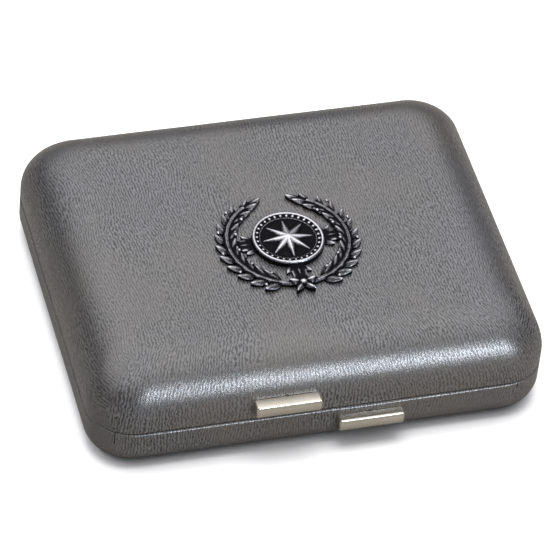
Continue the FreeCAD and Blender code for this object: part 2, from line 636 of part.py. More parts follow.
def insert_pad():
    """The velvet insert with a round capsule recess and a finger notch."""
    body = new_body("insert_pad")
    plan = level(body, "plan", PAD_IN, f"dims.corner_radius - {PAD_IN}", INSERT_BOTTOM)
    pad = extrude(body, "Pad", "pad", plan, f"{INSERT_TOP} - {INSERT_BOTTOM}")
    lower = round_edges(body, "lower_rounding", pad, at_height(INSERT_BOTTOM), "dims.insert_round")
    round_edges(body, "upper_rounding", lower, at_height(INSERT_TOP), "dims.insert_edge")
    recess = new_sketch(body, "recess_plan", "XY_Plane", INSERT_TOP)
    circle(recess, "0", "0", "dims.recess_radius")
    extrude(body, "Pocket", "recess", recess, "dims.recess_depth")
    notch = new_sketch(body, "notch_plan", "XY_Plane", INSERT_TOP)
    circle(notch, "0", "-dims.notch_out", "dims.notch_radius")
    extrude(body, "Pocket", "notch", notch, "dims.recess_depth")


def lid_spacer():
    """Card block between the lid shell and the lid board."""
    body = new_body("lid_spacer")
    top = f"(dims.case_height - {STEEL_IN} - dims.glue_line)"
    low = f"({BOARD_TOP} + dims.glue_line)"
    plan = level(body, "plan", "dims.spacer_inset", "dims.corner_radius/2", low)
    extrude(body, "Pad", "block", plan, f"{top} - {low}")
    room = new_sketch(body, "nut_spots", "XY_Plane", low)
    for x, y in post_spots():
        circle(room, x, y, "dims.nut_radius + dims.nut_room")
    extrude(body, "Pocket", "nut_room", room, f"{top} - {low}", back=True)


def lid_board():
    """Card that carries the lid cushion."""
    body = new_body("lid_board")
    corner = f"dims.corner_radius - {STEEL_IN} - dims.corner_squeeze*({LID_BOARD_IN} - {STEEL_IN})"
    plan = level(body, "plan", LID_BOARD_IN, corner, f"{PAD_TOP} + dims.glue_line")
    extrude(body, "Pad", "board", plan, "dims.board_thick")


def lid_pad():
    """The lid cushion: sides drawn in at the board, and a low crown that faces down."""
    body = new_body("lid_pad")
    crown = "(dims.lid_pad_thick - dims.lid_pad_side)"
    steps = [(f"({LID_PAD_IN} + dims.lid_pad_draw)", PAD_TOP)]
    for turn in range(0, 91, 15):
        inset = f"({LID_PAD_IN} + dims.lid_pad_crown*(1 - cos({turn} deg)))"
        steps.append((inset, f"{PAD_TOP} - dims.lid_pad_side - {crown}*sin({turn} deg)"))
    sections = []
    for count, (inset, height) in enumerate(steps):
        corner = f"dims.corner_radius - {PAD_IN} - dims.lid_pad_squeeze*({inset} - {LID_PAD_IN})"
        sections.append(level(body, f"level{count}", inset, corner, height))
    loft = body.newObject("PartDesign::AdditiveLoft", "cushion")
    loft.Profile = sections[0]
    loft.Sections = sections[1:]
    loft.Ruled = True
    doc.recompute()


def emblem():
    """A wreath round a boss, with two posts through the lid."""
    body = new_body("emblem")
    foot = "(dims.case_height + dims.glue_line)"
    y = "(-dims.emblem_front)"
    sketch = new_sketch(body, "wreath_plan", "XY_Plane", foot)
    circle(sketch, "0", y, "dims.emblem_radius")
    circle(sketch, "0", y, "dims.emblem_radius - dims.emblem_band")
    extrude(body, "Pad", "wreath", sketch, "dims.emblem_wreath")
    opening = ("-dims.emblem_gap/2", "dims.emblem_gap/2")
    far = f"{y} + 2*dims.emblem_radius"
    block(body, "Pocket", "tips", opening, (y, far), (foot, f"({foot} + 2*dims.emblem_wreath)"))
    sketch = new_sketch(body, "boss_plan", "XY_Plane", foot)
    circle(sketch, "0", y, "dims.emblem_boss")
    extrude(body, "Pad", "boss", sketch, "dims.emblem_boss_high")
    reach = "(dims.emblem_radius - dims.emblem_band/2)"
    high = f"({foot} + dims.emblem_plate)"
    tie = (f"{y} - dims.emblem_tie/2", f"{y} + dims.emblem_tie/2")
    block(body, "Pad", "side_ties", (f"-{reach}", reach), tie, (foot, high))
    block(body, "Pad", "front_tie", ("-dims.emblem_tie/2", "dims.emblem_tie/2"), (f"{y} - {reach}", y), (foot, high))
    sketch = new_sketch(body, "post_plan", "XY_Plane", high)
    for x, place in post_spots():
        circle(sketch, x, place, "dims.post_radius")
    extrude(body, "Pad", "posts", sketch, f"{high} - dims.case_height + dims.post_length", back=True)


def emblem_nuts():
    """Push nuts on the emblem posts, inside the lid."""
    body = new_body("emblem_nuts")
    top = f"(dims.case_height - {STEEL_IN} - dims.glue_line)"
    sketch = new_sketch(body, "nut_plan", "XY_Plane", top)
    for x, y in post_spots():
        circle(sketch, x, y, "dims.nut_radius")
        circle(sketch, x, y, "dims.post_radius + dims.nut_grip")
    extrude(body, "Pad", "nuts", sketch, "dims.nut_thick", back=True)


for side in ("base", "lid"):
    leatherette(side)
    shell(side)
    finger_tab(side)
    tab_rivets(side)
    hinge_leaf(side)
wall_rivets("base_hinge_rivets", leaf_rivet_spots("base"), LEAF_IN, STEEL_OUT)
wall_rivets("lid_hinge_rivets", leaf_rivet_spots("lid"), LID_LEAF_FACE, LID_RIVET_OUT)
wall_rivets("cam_spring_rivets", spring_rivet_spots(), SPRING_IN, STEEL_OUT)
cam_springs()
hinge_pin()
insert_board()
insert_pad()
lid_spacer()
lid_board()
lid_pad()
emblem()
emblem_nuts()

doc.recompute()
for item in doc.Objects:
    if "Invalid" in item.State or "Error" in item.State:
        raise RuntimeError(f"{item.Label} failed to build: {item.State}")
for item in doc.Objects:
    if item.TypeId in ("PartDesign::Body", "Part::Cylinder"):
        if item.Shape.isNull() or not item.Shape.isValid():
            raise RuntimeError(f"{item.Label} has no valid shape")
        item.Shape.exportStep(f"parts/{item.Label}.step")
        print(item.Label, len(item.Shape.Solids), round(item.Shape.Volume, 2))
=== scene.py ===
import math

import bmesh
import bpy
from bmesh.types import BMEdge, BMVert
from mathutils import Matrix, Vector, noise


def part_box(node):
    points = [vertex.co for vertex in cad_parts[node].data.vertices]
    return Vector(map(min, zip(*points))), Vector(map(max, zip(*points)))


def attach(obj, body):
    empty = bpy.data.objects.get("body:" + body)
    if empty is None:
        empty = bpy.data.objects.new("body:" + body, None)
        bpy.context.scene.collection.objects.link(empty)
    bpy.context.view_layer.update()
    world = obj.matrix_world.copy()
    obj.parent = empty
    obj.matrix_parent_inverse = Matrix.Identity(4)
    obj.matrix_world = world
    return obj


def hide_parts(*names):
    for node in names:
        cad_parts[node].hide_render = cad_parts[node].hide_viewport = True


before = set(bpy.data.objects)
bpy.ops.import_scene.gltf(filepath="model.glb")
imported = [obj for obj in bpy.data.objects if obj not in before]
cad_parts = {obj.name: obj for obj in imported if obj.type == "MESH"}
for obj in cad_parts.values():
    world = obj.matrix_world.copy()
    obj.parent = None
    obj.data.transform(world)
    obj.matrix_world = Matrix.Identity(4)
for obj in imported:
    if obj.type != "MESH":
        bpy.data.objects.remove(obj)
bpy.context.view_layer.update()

bl_info = {
    "name": "Coin presentation box",
    "version": (1, 0, 0),
    "blender": (4, 5, 0),
    "location": "3D View > Sidebar > Coin box",
    "description": "Dresses a covered clamshell case for one coin around its packed frame",
    "category": "Object",
}

MM = 0.001
LID_LOW, LID_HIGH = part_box("lid_leatherette")
BASE_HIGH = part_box("base_leatherette")[1]
HALF_X = LID_HIGH.x
HALF_Y = LID_HIGH.y
FRONT, RIGHT, REAR, LEFT = -90, 0, 90, 180


# Sizes and colours that a user would change

def length(name, description, default):
    """A length property, with its default in millimetres."""
    return bpy.props.FloatProperty(
        name=name, description=description, default=default * MM, unit="LENGTH", precision=5
    )


def share(name, description, default):
    """A property between nothing and all."""
    return bpy.props.FloatProperty(
        name=name, description=description, default=default, min=0, max=1, subtype="FACTOR"
    )


def colour(name, description, default):
    """A colour property."""
    return bpy.props.FloatVectorProperty(
        name=name, description=description, default=default, size=3, min=0, max=1, subtype="COLOR"
    )


class CaseSizes(bpy.types.PropertyGroup):
    corner: length("Corner", "Plan corner radius of the coverings", 10.2)
    squeeze: share("Corner squeeze", "Share of the shoulder that the plan corner loses", 0.39)
    shoulder: length("Shoulder", "Rounding of the lid from wall to top", 12)
    lid_wall: length("Lid wall", "Straight wall of the lid above its rim", 2.25)
    base_round: length("Base rounding", "Rounding of the base from wall to underside", 6)
    skin: length("Skin", "Thickness of the covering", 0.7)
    wall: length("Wall", "Covering, shell and turned-in covering together", 2.1)
    turn_in: length("Turn-in", "Outside of the turned-in covering, from the outside", 1.4)
    rim_round: length("Rim rounding", "Rounding of the covered rims", 0.5)
    ripple: length("Ripple", "Depth of the slow waves in the coverings", 0.05)
    tab_sheet: length("Tab sheet", "Thickness of the finger tabs", 0.5)
    tab_tall: length("Tab face", "Height of the finger tabs' front face", 2.85)
    tab_bend: length("Tab bend", "Outside rounding of the finger tabs' bends", 0.6)
    tongue: length("Tongue", "Width of the tab where it enters the case", 12)
    wreath_band: length("Wreath band", "Width of the wreath", 5.2)
    boss: length("Boss", "Radius of the emblem's middle boss", 8)
    leaf_long: length("Leaf length", "Leaves of the wreath", 5.2)
    leaf_wide: length("Leaf width", "Leaves of the wreath", 2.5)
    recess: length("Recess", "Radius of the capsule recess", 23.8)
    recess_deep: length("Recess depth", "Depth of the capsule recess", 5.6)
    notch: length("Notch", "Radius of the finger notch", 8.5)
    notch_out: length("Notch place", "Finger notch in front of the recess middle", 22.5)


class CaseColours(bpy.types.PropertyGroup):
    leather: colour("Leatherette", "Raised grain of the coverings", (0.106, 0.104, 0.109))
    # Crease colour: partly the leatherette's two-tone finish, partly painted shade in the creases.
    crease_tone_and_shade: colour("Crease tone and shade", "Creases between the grain", (0.016, 0.015, 0.012))
    nickel: colour("Nickel", "Finger tabs", (0.53, 0.492, 0.425))
    steel: colour("Steel", "Hinge and rivets", (0.48, 0.47, 0.455))
    pewter: colour("Pewter", "Raised parts of the emblem", (0.52, 0.51, 0.54))
    patina: colour("Patina", "Recesses of the emblem", (0.003, 0.003, 0.004))
    velvet: colour("Velvet", "Capsule insert", (0.018, 0.02, 0.03))
    satin: colour("Satin", "Lid cushion", (0.42, 0.42, 0.44))
    card: colour("Card", "Boards and spacer", (0.34, 0.33, 0.31))
    floor: colour("Floor", "Floor under the case", (0.93, 0.93, 0.93))


def sizes():
    """The case's sizes."""
    return bpy.context.scene.coin_case_sizes


def colours():
    """The case's colours."""
    return bpy.context.scene.coin_case_colours


# Meshes and pieces

def make_object(name, bm):
    """A new object from a bmesh, which is freed."""
    mesh = bpy.data.meshes.new(name)
    bm.to_mesh(mesh)
    bm.free()
    item = bpy.data.objects.new(name, mesh)
    bpy.context.scene.collection.objects.link(item)
    return item


def smooth(item, angle):
    """Smooth shading that breaks at edges sharper than an angle in degrees."""
    item.data.polygons.foreach_set("use_smooth", [True] * len(item.data.polygons))
    item.data.set_sharp_from_angle(angle=math.radians(angle))


def bake_modifiers(item):
    """Apply all the modifiers of an object to its mesh."""
    graph = bpy.context.evaluated_depsgraph_get()
    graph.update()
    made = bpy.data.meshes.new_from_object(item.evaluated_get(graph))
    old = item.data
    item.modifiers.clear()
    item.data = made
    bpy.data.meshes.remove(old)
    made.name = item.name


def cut(item, cutter_bm):
    """Cut the shape of a bmesh out of an object."""
    cutter = make_object("cutter", cutter_bm)
    change = item.modifiers.new("cut", "BOOLEAN")
    change.operation = "DIFFERENCE"
    change.solver = "EXACT"
    change.object = cutter
    bake_modifiers(item)
    mesh = cutter.data
    bpy.data.objects.remove(cutter)
    bpy.data.meshes.remove(mesh)


def add_box(bm, low, high, turn=0.0, pivot=(0, 0, 0)):
    """A box between two corners, turned about an upright line through a pivot."""
    low, high = Vector(low), Vector(high)
    place = Matrix.Translation(pivot) @ spun(turn) @ Matrix.Translation((low + high) / 2)
    bmesh.ops.create_cube(bm, size=1.0, matrix=place @ Matrix.Diagonal((*(high - low), 1)))


def add_rod(bm, radius, depth, place, segments):
    """A round bar along its own Z, placed by a matrix."""
    bmesh.ops.create_cone(
        bm, cap_ends=True, segments=segments, radius1=radius, radius2=radius, depth=depth, matrix=place
    )


def add_ball(bm, radius, place, detail=2):
    """A ball, placed by a matrix."""
    bmesh.ops.create_icosphere(bm, subdivisions=detail, radius=radius, matrix=place)


def round_edges(bm, edges, radius, segments):
    """Round some edges of a bmesh."""
    bmesh.ops.bevel(
        bm, geom=edges, offset=radius, offset_type="OFFSET", segments=segments, profile=0.5,
        affect="EDGES", material=-1,
    )


def only(parts, kind):
    """The parts of one kind, out of what a bmesh operator made."""
    return [part for part in parts if isinstance(part, kind)]


def spun(angle):
    """A turn about Z, by an angle in radians."""
    return Matrix.Rotation(angle, 4, "Z")


def dress(item, body, material, slot, *nodes):
    """Put a finished piece on its body in place of CAD nodes."""
    item.data.materials.clear()
    item.data.materials.append(material)
    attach(item, body)
    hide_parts(*nodes)


# Shader nodes

def feed(tree, node, inputs):
    """Set or link some inputs of a node."""
    for key, value in dict(inputs).items():
        if isinstance(value, bpy.types.NodeSocket):
            tree.links.new(value, node.inputs[key])
        else:
            node.inputs[key].default_value = value


def add(tree, kind, inputs=(), **settings):
    """A node with its settings, and its inputs set or linked."""
    made = tree.nodes.new(kind)
    for key, value in settings.items():
        setattr(made, key, value)
    feed(tree, made, inputs)
    return made


def maths(tree, operation, first, second=0.0):
    """A Math node's result."""
    return add(tree, "ShaderNodeMath", {0: first, 1: second}, operation=operation).outputs[0]


def weighted(tree, first, first_share, second, second_share):
    """The sum of two values, each times its own share."""
    first = maths(tree, "MULTIPLY", first, first_share)
    return maths(tree, "ADD", first, maths(tree, "MULTIPLY", second, second_share))


def vectors(tree, operation, first, second):
    """A Vector Math node's vector."""
    return add(tree, "ShaderNodeVectorMath", {0: first, 1: second}, operation=operation).outputs[0]


def scaled(tree, vector, factor):
    """A vector or a colour times a number."""
    return add(tree, "ShaderNodeVectorMath", {0: vector, "Scale": factor}, operation="SCALE").outputs[0]


def remap(tree, value, low, high, to_low=0.0, to_high=1.0):
    """A value eased from one range to another."""
    inputs = {"Value": value, "From Min": low, "From Max": high, "To Min": to_low, "To Max": to_high}
    return add(tree, "ShaderNodeMapRange", inputs, interpolation_type="SMOOTHSTEP").outputs[0]


def mix_colours(tree, factor, first, second):
    """A colour between two."""
    return add(tree, "ShaderNodeMix", {0: factor, 6: first, 7: second}, data_type="RGBA").outputs[2]


def cloud(tree, vector, scale, detail=2.0, roughness=0.5):
    """Noise from about 0 to 1, at a scale per unit of its vector."""
    inputs = {"Vector": vector, "Scale": scale, "Detail": detail, "Roughness": roughness}
    return add(tree, "ShaderNodeTexNoise", inputs).outputs[0]


def bumped(tree, height, strength, distance):
    """A normal from a height, with its full rise in metres."""
    inputs = {"Strength": strength, "Distance": distance, "Height": height}
    return add(tree, "ShaderNodeBump", inputs).outputs["Normal"]


def object_place(tree):
    """A point's place in metres."""
    return add(tree, "ShaderNodeTexCoord").outputs["Object"]


def solid(rgb):
    """A colour with full alpha."""
    return (*rgb, 1.0)


def shaded(rgb, factor):
    """A colour times a number, with full alpha."""
    return solid([channel * factor for channel in rgb])


def new_group(name, inputs, outputs):
    """An empty shader group with vectors in and numbers out, and its two ends."""
    tree = bpy.data.node_groups.new(name, "ShaderNodeTree")
    for label in inputs:
        tree.interface.new_socket(label, in_out="INPUT", socket_type="NodeSocketVector")
    for label in outputs:
        tree.interface.new_socket(label, in_out="OUTPUT", socket_type="NodeSocketFloat")
    return tree, tree.nodes.new("NodeGroupInput"), tree.nodes.new("NodeGroupOutput")


def group(tree, group_tree, inputs):
    """The outputs of a placed group."""
    return add(tree, "ShaderNodeGroup", inputs, node_tree=group_tree).outputs


def new_material(name):
    """A new material, its tree and its Principled shader."""
    made = bpy.data.materials.new(name)
    made.use_nodes = True
    return made, made.node_tree, made.node_tree.nodes["Principled BSDF"]


# Leather grain, with noise scales per millimetre of its sheet

GRAIN_OUTPUTS = ("Height", "Crease tone and shade", "Patch")
DRIFT_SCALE, DRIFT_REACH = 0.06, 5.0
SWAY_SCALE, SWAY_REACH = 0.85, 0.95
RIDGE_LEAN = math.radians(-10)
RIDGE_SCALE = (4.2, 1.15, 1)
STRAND_SCALE = 2.4
SPARKLE_SCALE = 7.0
PATCH_SCALE = 0.035
SHEET_SCALE = 10
SHEET_UNITS = (100, 100, 100)
WARM_PATCH = (0.97, 0.925, 0.86)
COOL_PATCH = (1.03, 1.05, 1.11)


def grain_group():
    """Leather grain: long wavy ridges parted by creases, on a sheet measured in millimetres."""
    if "leather_grain" in bpy.data.node_groups:
        return bpy.data.node_groups["leather_grain"]
    tree, start, end = new_group("leather_grain", ("Sheet",), GRAIN_OUTPUTS)
    sheet = start.outputs["Sheet"]
    warped = sheet
    for scale, reach in ((DRIFT_SCALE, DRIFT_REACH), (SWAY_SCALE, SWAY_REACH)):
        inputs = {"Vector": sheet, "Scale": scale, "Detail": 1.0}
        drift = add(tree, "ShaderNodeTexNoise", inputs).outputs["Color"]
        warped = vectors(tree, "ADD", warped, scaled(tree, drift, reach))
    inputs = {"Vector": warped, "Rotation": (0, 0, RIDGE_LEAN), "Scale": RIDGE_SCALE}
    ridged = add(tree, "ShaderNodeMapping", inputs).outputs[0]
    inputs = {"Vector": ridged, "Scale": 1.0, "Detail": 0.5}
    ridge = add(tree, "ShaderNodeTexNoise", inputs, noise_dimensions="2D").outputs[0]
    across = add(tree, "ShaderNodeSeparateXYZ", {"Vector": ridged}).outputs[0]
    strand = maths(tree, "SINE", maths(tree, "MULTIPLY", across, STRAND_SCALE))
    fold = weighted(tree, ridge, 0.65, strand, 0.15)
    sparkle = cloud(tree, sheet, SPARKLE_SCALE, 1.0)
    feed(tree, end, {
        "Height": weighted(tree, fold, 0.22, sparkle, 0.3),
        # The crease mask darkens the creases in colour: partly the two-tone finish, partly painted shade for
        # the grain's own shading.
        "Crease tone and shade": maths(tree, "SUBTRACT", 1.0, remap(tree, fold, 0.17, 0.42)),
        "Patch": cloud(tree, sheet, PATCH_SCALE, 3.0),
    })
    return tree


def sheet_grain(tree, uv_map):
    """Leather grain laid out on one of the coverings' sheet maps."""
    uv = add(tree, "ShaderNodeUVMap", uv_map=uv_map).outputs[0]
    sheet = add(tree, "ShaderNodeMapping", {"Vector": uv, "Scale": SHEET_UNITS}).outputs[0]
    return group(tree, grain_group(), {"Sheet": sheet})


def leather_material():
    """Pearl grey leatherette on two sheet maps, one fading into the other round each corner, with painted
    shade in its darker creases.
    """
    made, tree, shader = new_material("pearl_leatherette")
    tone = colours()
    before, after = sheet_grain(tree, "sheet"), sheet_grain(tree, "sheet_after")
    turn = add(tree, "ShaderNodeUVMap", uv_map="corner_turn").outputs[0]
    turn = add(tree, "ShaderNodeSeparateXYZ", {"Vector": turn}).outputs[0]
    height, crease_tone_and_shade, patch = (
        add(tree, "ShaderNodeMix", {0: turn, 2: before[label], 3: after[label]}).outputs[0]
        for label in GRAIN_OUTPUTS
    )
    # Darker creases: the two-tone finish of the leatherette, with painted shade where the grain would shade
    # itself.
    crease_tone_and_shade = maths(tree, "MULTIPLY", crease_tone_and_shade, remap(tree, patch, 0.38, 0.55, 0.7, 1.05))
    tone_with_painted_light = mix_colours(tree, crease_tone_and_shade, solid(tone.leather), solid(tone.crease_tone_and_shade))
    tint = mix_colours(tree, remap(tree, patch, 0.35, 0.65), solid(WARM_PATCH), solid(COOL_PATCH))
    feed(tree, shader, {
        "Base Color": vectors(tree, "MULTIPLY", tone_with_painted_light, tint),
        "Roughness": remap(tree, crease_tone_and_shade, 0.0, 1.0, 0.22, 0.4),
        "Normal": bumped(tree, height, 0.6, 0.16 * MM),
        "Metallic": 0.08,
        "Specular IOR Level": 0.85,
    })
    return made


# Other materials, with noise scales per metre

def wear_group():
    """Slow tone and fine scratches for metal, from a place in metres."""
    if "metal_wear" in bpy.data.node_groups:
        return bpy.data.node_groups["metal_wear"]
    tree, start, end = new_group("metal_wear", ("Place", "Stretch"), ("Tone", "Brush"))
    place = start.outputs["Place"]
    brushed = vectors(tree, "MULTIPLY", place, start.outputs["Stretch"])
    feed(tree, end, {"Tone": cloud(tree, place, 160.0, 3.0), "Brush": cloud(tree, brushed, 1000.0, 3.0, 0.6)})
    return tree


def metal_material(name, rgb, dark, rough, stretch, brush_depth, metallic=1.0):
    """A plated or bare metal with slow tone and brushing."""
    made, tree, shader = new_material(name)
    wear = group(tree, wear_group(), {"Place": object_place(tree), "Stretch": stretch})
    tone = remap(tree, wear["Tone"], 0.3, 0.7)
    feed(tree, shader, {
        "Base Color": mix_colours(tree, tone, shaded(rgb, dark), solid(rgb)),
        "Roughness": remap(tree, wear["Brush"], 0.3, 0.7, rough * 0.8, rough * 1.25),
        "Normal": bumped(tree, wear["Brush"], 0.3, brush_depth),
        "Metallic": metallic,
    })
    return made


def pewter_material():
    """Antique pewter: dark patina in the recesses and rubbed bright on what stands up, the bright parts also
    a painted highlight on ridges and on faces that point up.
    """
    made, tree, shader = new_material("antique_pewter")
    tone = colours()
    # The mask is rubbed wear on what stands up, used also as painted highlight on ridges and upward faces;
    # the dark patina in the hollows is the metal's own.
    wear_and_highlight = add(tree, "ShaderNodeAttribute", attribute_name="wear_and_highlight").outputs["Fac"]
    speck = cloud(tree, object_place(tree), 2600.0, 3.0, 0.6)
    tone_with_painted_light = maths(tree, "ADD", wear_and_highlight, maths(tree, "MULTIPLY", maths(tree, "SUBTRACT", speck, 0.5), 0.35))
    rubbed_and_highlit = remap(tree, tone_with_painted_light, 0.4, 0.95)
    feed(tree, shader, {
        "Base Color": mix_colours(tree, rubbed_and_highlit, solid(tone.patina), solid(tone.pewter)),
        "Roughness": remap(tree, rubbed_and_highlit, 0.0, 1.0, 0.6, 0.3),
        "Normal": bumped(tree, speck, 0.4, 0.04 * MM),
        "Metallic": 0.9,
    })
    return made


def card_material():
    """Grey board with flecks of fibre."""
    made, tree, shader = new_material("grey_card")
    card = colours().card
    place = object_place(tree)
    fibre = cloud(tree, place, 1500.0, 4.0, 0.65)
    fleck = remap(tree, cloud(tree, place, 600.0, 2.0), 0.62, 0.7)
    base = mix_colours(tree, remap(tree, fibre, 0.3, 0.7), shaded(card, 0.78), solid(card))
    feed(tree, shader, {
        "Base Color": mix_colours(tree, fleck, base, shaded(card, 0.55)),
        "Normal": bumped(tree, fibre, 0.3, 0.06 * MM),
        "Roughness": 0.85,
    })
    return made


def velvet_material():
    """Dark velvet with a short brushed pile."""
    made, tree, shader = new_material("dark_velvet")
    velvet = colours().velvet
    place = object_place(tree)
    pile = cloud(tree, place, 4200.0, 2.0, 0.6)
    brushed = remap(tree, cloud(tree, place, 60.0, 3.0), 0.35, 0.65)
    base = mix_colours(tree, brushed, shaded(velvet, 0.75), shaded(velvet, 1.25))
    feed(tree, shader, {
        "Base Color": scaled(tree, base, remap(tree, pile, 0.3, 0.7, 0.6, 1.4)),
        "Normal": bumped(tree, pile, 0.6, 0.2 * MM),
        "Roughness": 0.9,
        "Sheen Weight": 0.42,
        "Sheen Roughness": 0.35,
        "Specular IOR Level": 0.25,
    })
    return made


def satin_material():
    """Silver-grey satin with fine warp threads."""
    made, tree, shader = new_material("silver_satin")
    satin = colours().satin
    place = object_place(tree)
    thread = add(tree, "ShaderNodeMapping", {"Vector": place, "Scale": (5200, 420, 420)}).outputs[0]
    warp = cloud(tree, thread, 1.0)
    slow = remap(tree, cloud(tree, place, 45.0), 0.35, 0.65)
    feed(tree, shader, {
        "Base Color": mix_colours(tree, slow, shaded(satin, 0.94), solid(satin)),
        "Roughness": remap(tree, warp, 0.3, 0.7, 0.28, 0.36),
        "Normal": bumped(tree, warp, 0.35, 0.08 * MM),
        "Specular IOR Level": 0.8,
        "Sheen Weight": 0.25,
    })
    return made


def floor_material():
    """Plain pale floor that gives only part of its light back to the case."""
    made, tree, shader = new_material("pale_floor")
    pale = colours().floor
    base = mix_colours(tree, cloud(tree, object_place(tree), 6.0), shaded(pale, 0.98), solid(pale))
    seen = add(tree, "ShaderNodeLightPath").outputs["Is Camera Ray"]
    bounce = solid([channel * part for channel, part in zip(pale, FLOOR_BOUNCE)])
    feed(tree, shader, {"Base Color": mix_colours(tree, seen, bounce, base), "Roughness": 0.8})
    return made


# Coverings

ARC_STEPS = 20
SIDE_STEPS = {FRONT: 40, RIGHT: 24, REAR: 40, LEFT: 24}
CORNER_SIGNS = {FRONT: (1, -1), RIGHT: (1, 1), REAR: (-1, 1), LEFT: (-1, -1)}
SIDE_ORDER = (FRONT, RIGHT, REAR, LEFT)
FLAT_INSETS = [inset * MM for inset in (38, 33, 28, 23, 18, 15, 13)]
LEAST_CORNER = 1.2 * MM
TURN_OVERLAP = 0.05 * MM
TONGUE_RISE = 0.22 * MM
RIM_ROLL = 0.1 * MM
HINGE_GAP = 1.8 * MM
SLOT_SPARE = 0.1 * MM
NOTCH_RADIUS = 0.35 * MM
POST_HOLE = 1.1 * MM
SHELL_FACE = 1.35 * MM
ROOM_FOOT = 6 * MM
ROOM_SPARE = 0.2 * MM
LEAF_SPARE = 0.5 * MM
CUT_PAST = 5 * MM
NOTCH_OUT, NOTCH_LONG = 0.9 * MM, 4.2 * MM
POST_IN, POST_DEEP = 3 * MM, 4 * MM
FLAT_CORNER_LOSS = 0.12
RIPPLES_PER_METRE = 60
TONGUE_HALF = 7.2 * MM
TONGUE_UP, TONGUE_SPREAD = 0.75 * MM, 0.55 * MM
ROLL_DOWN, ROLL_SPREAD = 0.55 * MM, 0.4 * MM
LAID_RUN = 10 * MM
TURN_START, TURN_SPAN = 0.38, 0.24

# Slits at the front corners of the base: side, degrees round the corner and depth
CORNER_SLITS = ((-1, 58, 3.1 * MM), (1, 76, 1.6 * MM))
SLIT_HALF = 0.11 * MM
SLIT_REACH = 0.45 * MM
SLIT_PAST = 1 * MM


def station_table():
    """Stations round the plan: a corner, a facing in degrees, and a share of the way to the next corner."""
    stations = []
    for number, side in enumerate(SIDE_ORDER):
        before = CORNER_SIGNS[SIDE_ORDER[number - 1]]
        after = CORNER_SIGNS[side]
        count = SIDE_STEPS[side]
        stations += [(before, side, after, (step + 1) / (count + 1)) for step in range(count)]
        stations += [(after, side + 90 * step / ARC_STEPS, None, 0) for step in range(ARC_STEPS + 1)]
    return stations


STATIONS = station_table()


def facing(station):
    """Outward direction of a station in plan."""
    angle = math.radians(station[1])
    return Vector((math.cos(angle), math.sin(angle), 0))


def ease(value):
    """A value between nothing and all, with soft ends."""
    value = min(max(value, 0.0), 1.0)
    return value * value * (3 - 2 * value)


def station_point(station, inset, corner):
    """Place of a station on the plan outline at an inset, with a corner radius."""
    signs, angle, other, part = station
    out = facing(station) * corner
    reach_x = HALF_X - inset - corner
    reach_y = HALF_Y - inset - corner
    point = Vector((signs[0] * reach_x, signs[1] * reach_y, 0)) + out
    if other:
        point = point.lerp(Vector((other[0] * reach_x, other[1] * reach_y, 0)) + out, part)
    return point


def arc(steps, first=0, last=90):
    """Angles in radians from first to last, both included."""
    return [math.radians(first + (last - first) * step / steps) for step in range(steps + 1)]


def cover_rings(half):
    """Rings of a covering from its flat, over the rim and back inside: inset, height, corner, run."""
    size = sizes()
    if half == "lid":
        sign, wide, squeeze, rim = 1, size.shoulder, size.squeeze, LID_LOW.z
        start = rim + size.lid_wall
        high = LID_HIGH.z - start
        turned_to = start - TURN_OVERLAP
    else:
        sign, wide, squeeze, rim = -1, size.base_round, 1.0, BASE_HIGH.z
        start = high = size.base_round
        turned_to = start + TURN_OVERLAP
    corner, skin, bend = size.corner, size.skin, size.rim_round
    flat_corner = corner - squeeze * wide
    rings = []
    for inset in FLAT_INSETS:
        if inset > wide:
            rounding = max(flat_corner - FLAT_CORNER_LOSS * (inset - wide), LEAST_CORNER)
            rings.append((inset, start + sign * high, rounding, 0))
    run = 0.0
    last = (wide, start + sign * high)
    outside = []
    for angle in arc(26, 90, 0):
        inward = wide * (1 - math.cos(angle))
        outside.append((inward, start + sign * high * math.sin(angle), corner - squeeze * inward))
    wall = rim + sign * bend - start
    for part in (0.3, 0.6, 0.85):
        outside.append((0, start + wall * part, corner))
    for angle in arc(7):
        inset = bend * (1 - math.cos(angle))
        outside.append((inset, rim + sign * bend * (1 - math.sin(angle)), corner - inset))
    for angle in arc(5, 90, 0):
        inset = size.wall - bend * (1 - math.cos(angle))
        outside.append((inset, rim + sign * bend * (1 - math.sin(angle)), corner - inset))
    under = rim + sign * skin
    inside = [(size.wall, (rim + turned_to) / 2), (size.wall, turned_to), (size.turn_in, turned_to)]
    inside += [(size.turn_in, under), (skin, under)]
    outside += [(inset, z, corner - inset) for inset, z in inside]
    for angle in arc(14):
        inward = (wide - skin) * (1 - math.cos(angle))
        z = start + sign * (high - skin) * math.sin(angle)
        outside.append((skin + inward, z, corner - skin - squeeze * inward))
    for inset, z, radius in outside:
        run += math.hypot(inset - last[0], z - last[1])
        last = (inset, z)
        rings.append((inset, z, radius, run))
    return rings, wide, flat_corner


def cover_swell(half, station, point, ring):
    """Outward swell of a covering: slow ripples, the rolled rim and the rise over the base tab's tongue."""
    size = sizes()
    inset, z, corner, run = ring
    if inset > size.rim_round and run > size.shoulder * 2.2:
        return 0.0
    out = size.ripple * noise.noise(Vector((point.x, point.y, z)) * RIPPLES_PER_METRE)
    if half == "base" and station[1] == FRONT:
        low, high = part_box("base_tab")
        middle = (low.x + high.x) / 2
        across = max(0.0, 1 - (abs(point.x - middle) / TONGUE_HALF) ** 6)
        out += TONGUE_RISE * across * math.exp(-(((z - high.z - TONGUE_UP) / TONGUE_SPREAD) ** 2))
        ends = max(0.0, 1 - (abs(point.x) / (HALF_X - size.corner)) ** 8)
        out += RIM_ROLL * ends * math.exp(-(((z - BASE_HIGH.z + ROLL_DOWN) / ROLL_SPREAD) ** 2))
    return out


def corner_side(signs):
    """The side that leads to a corner."""
    return next(side for side in SIDE_ORDER if CORNER_SIGNS[side] == signs)


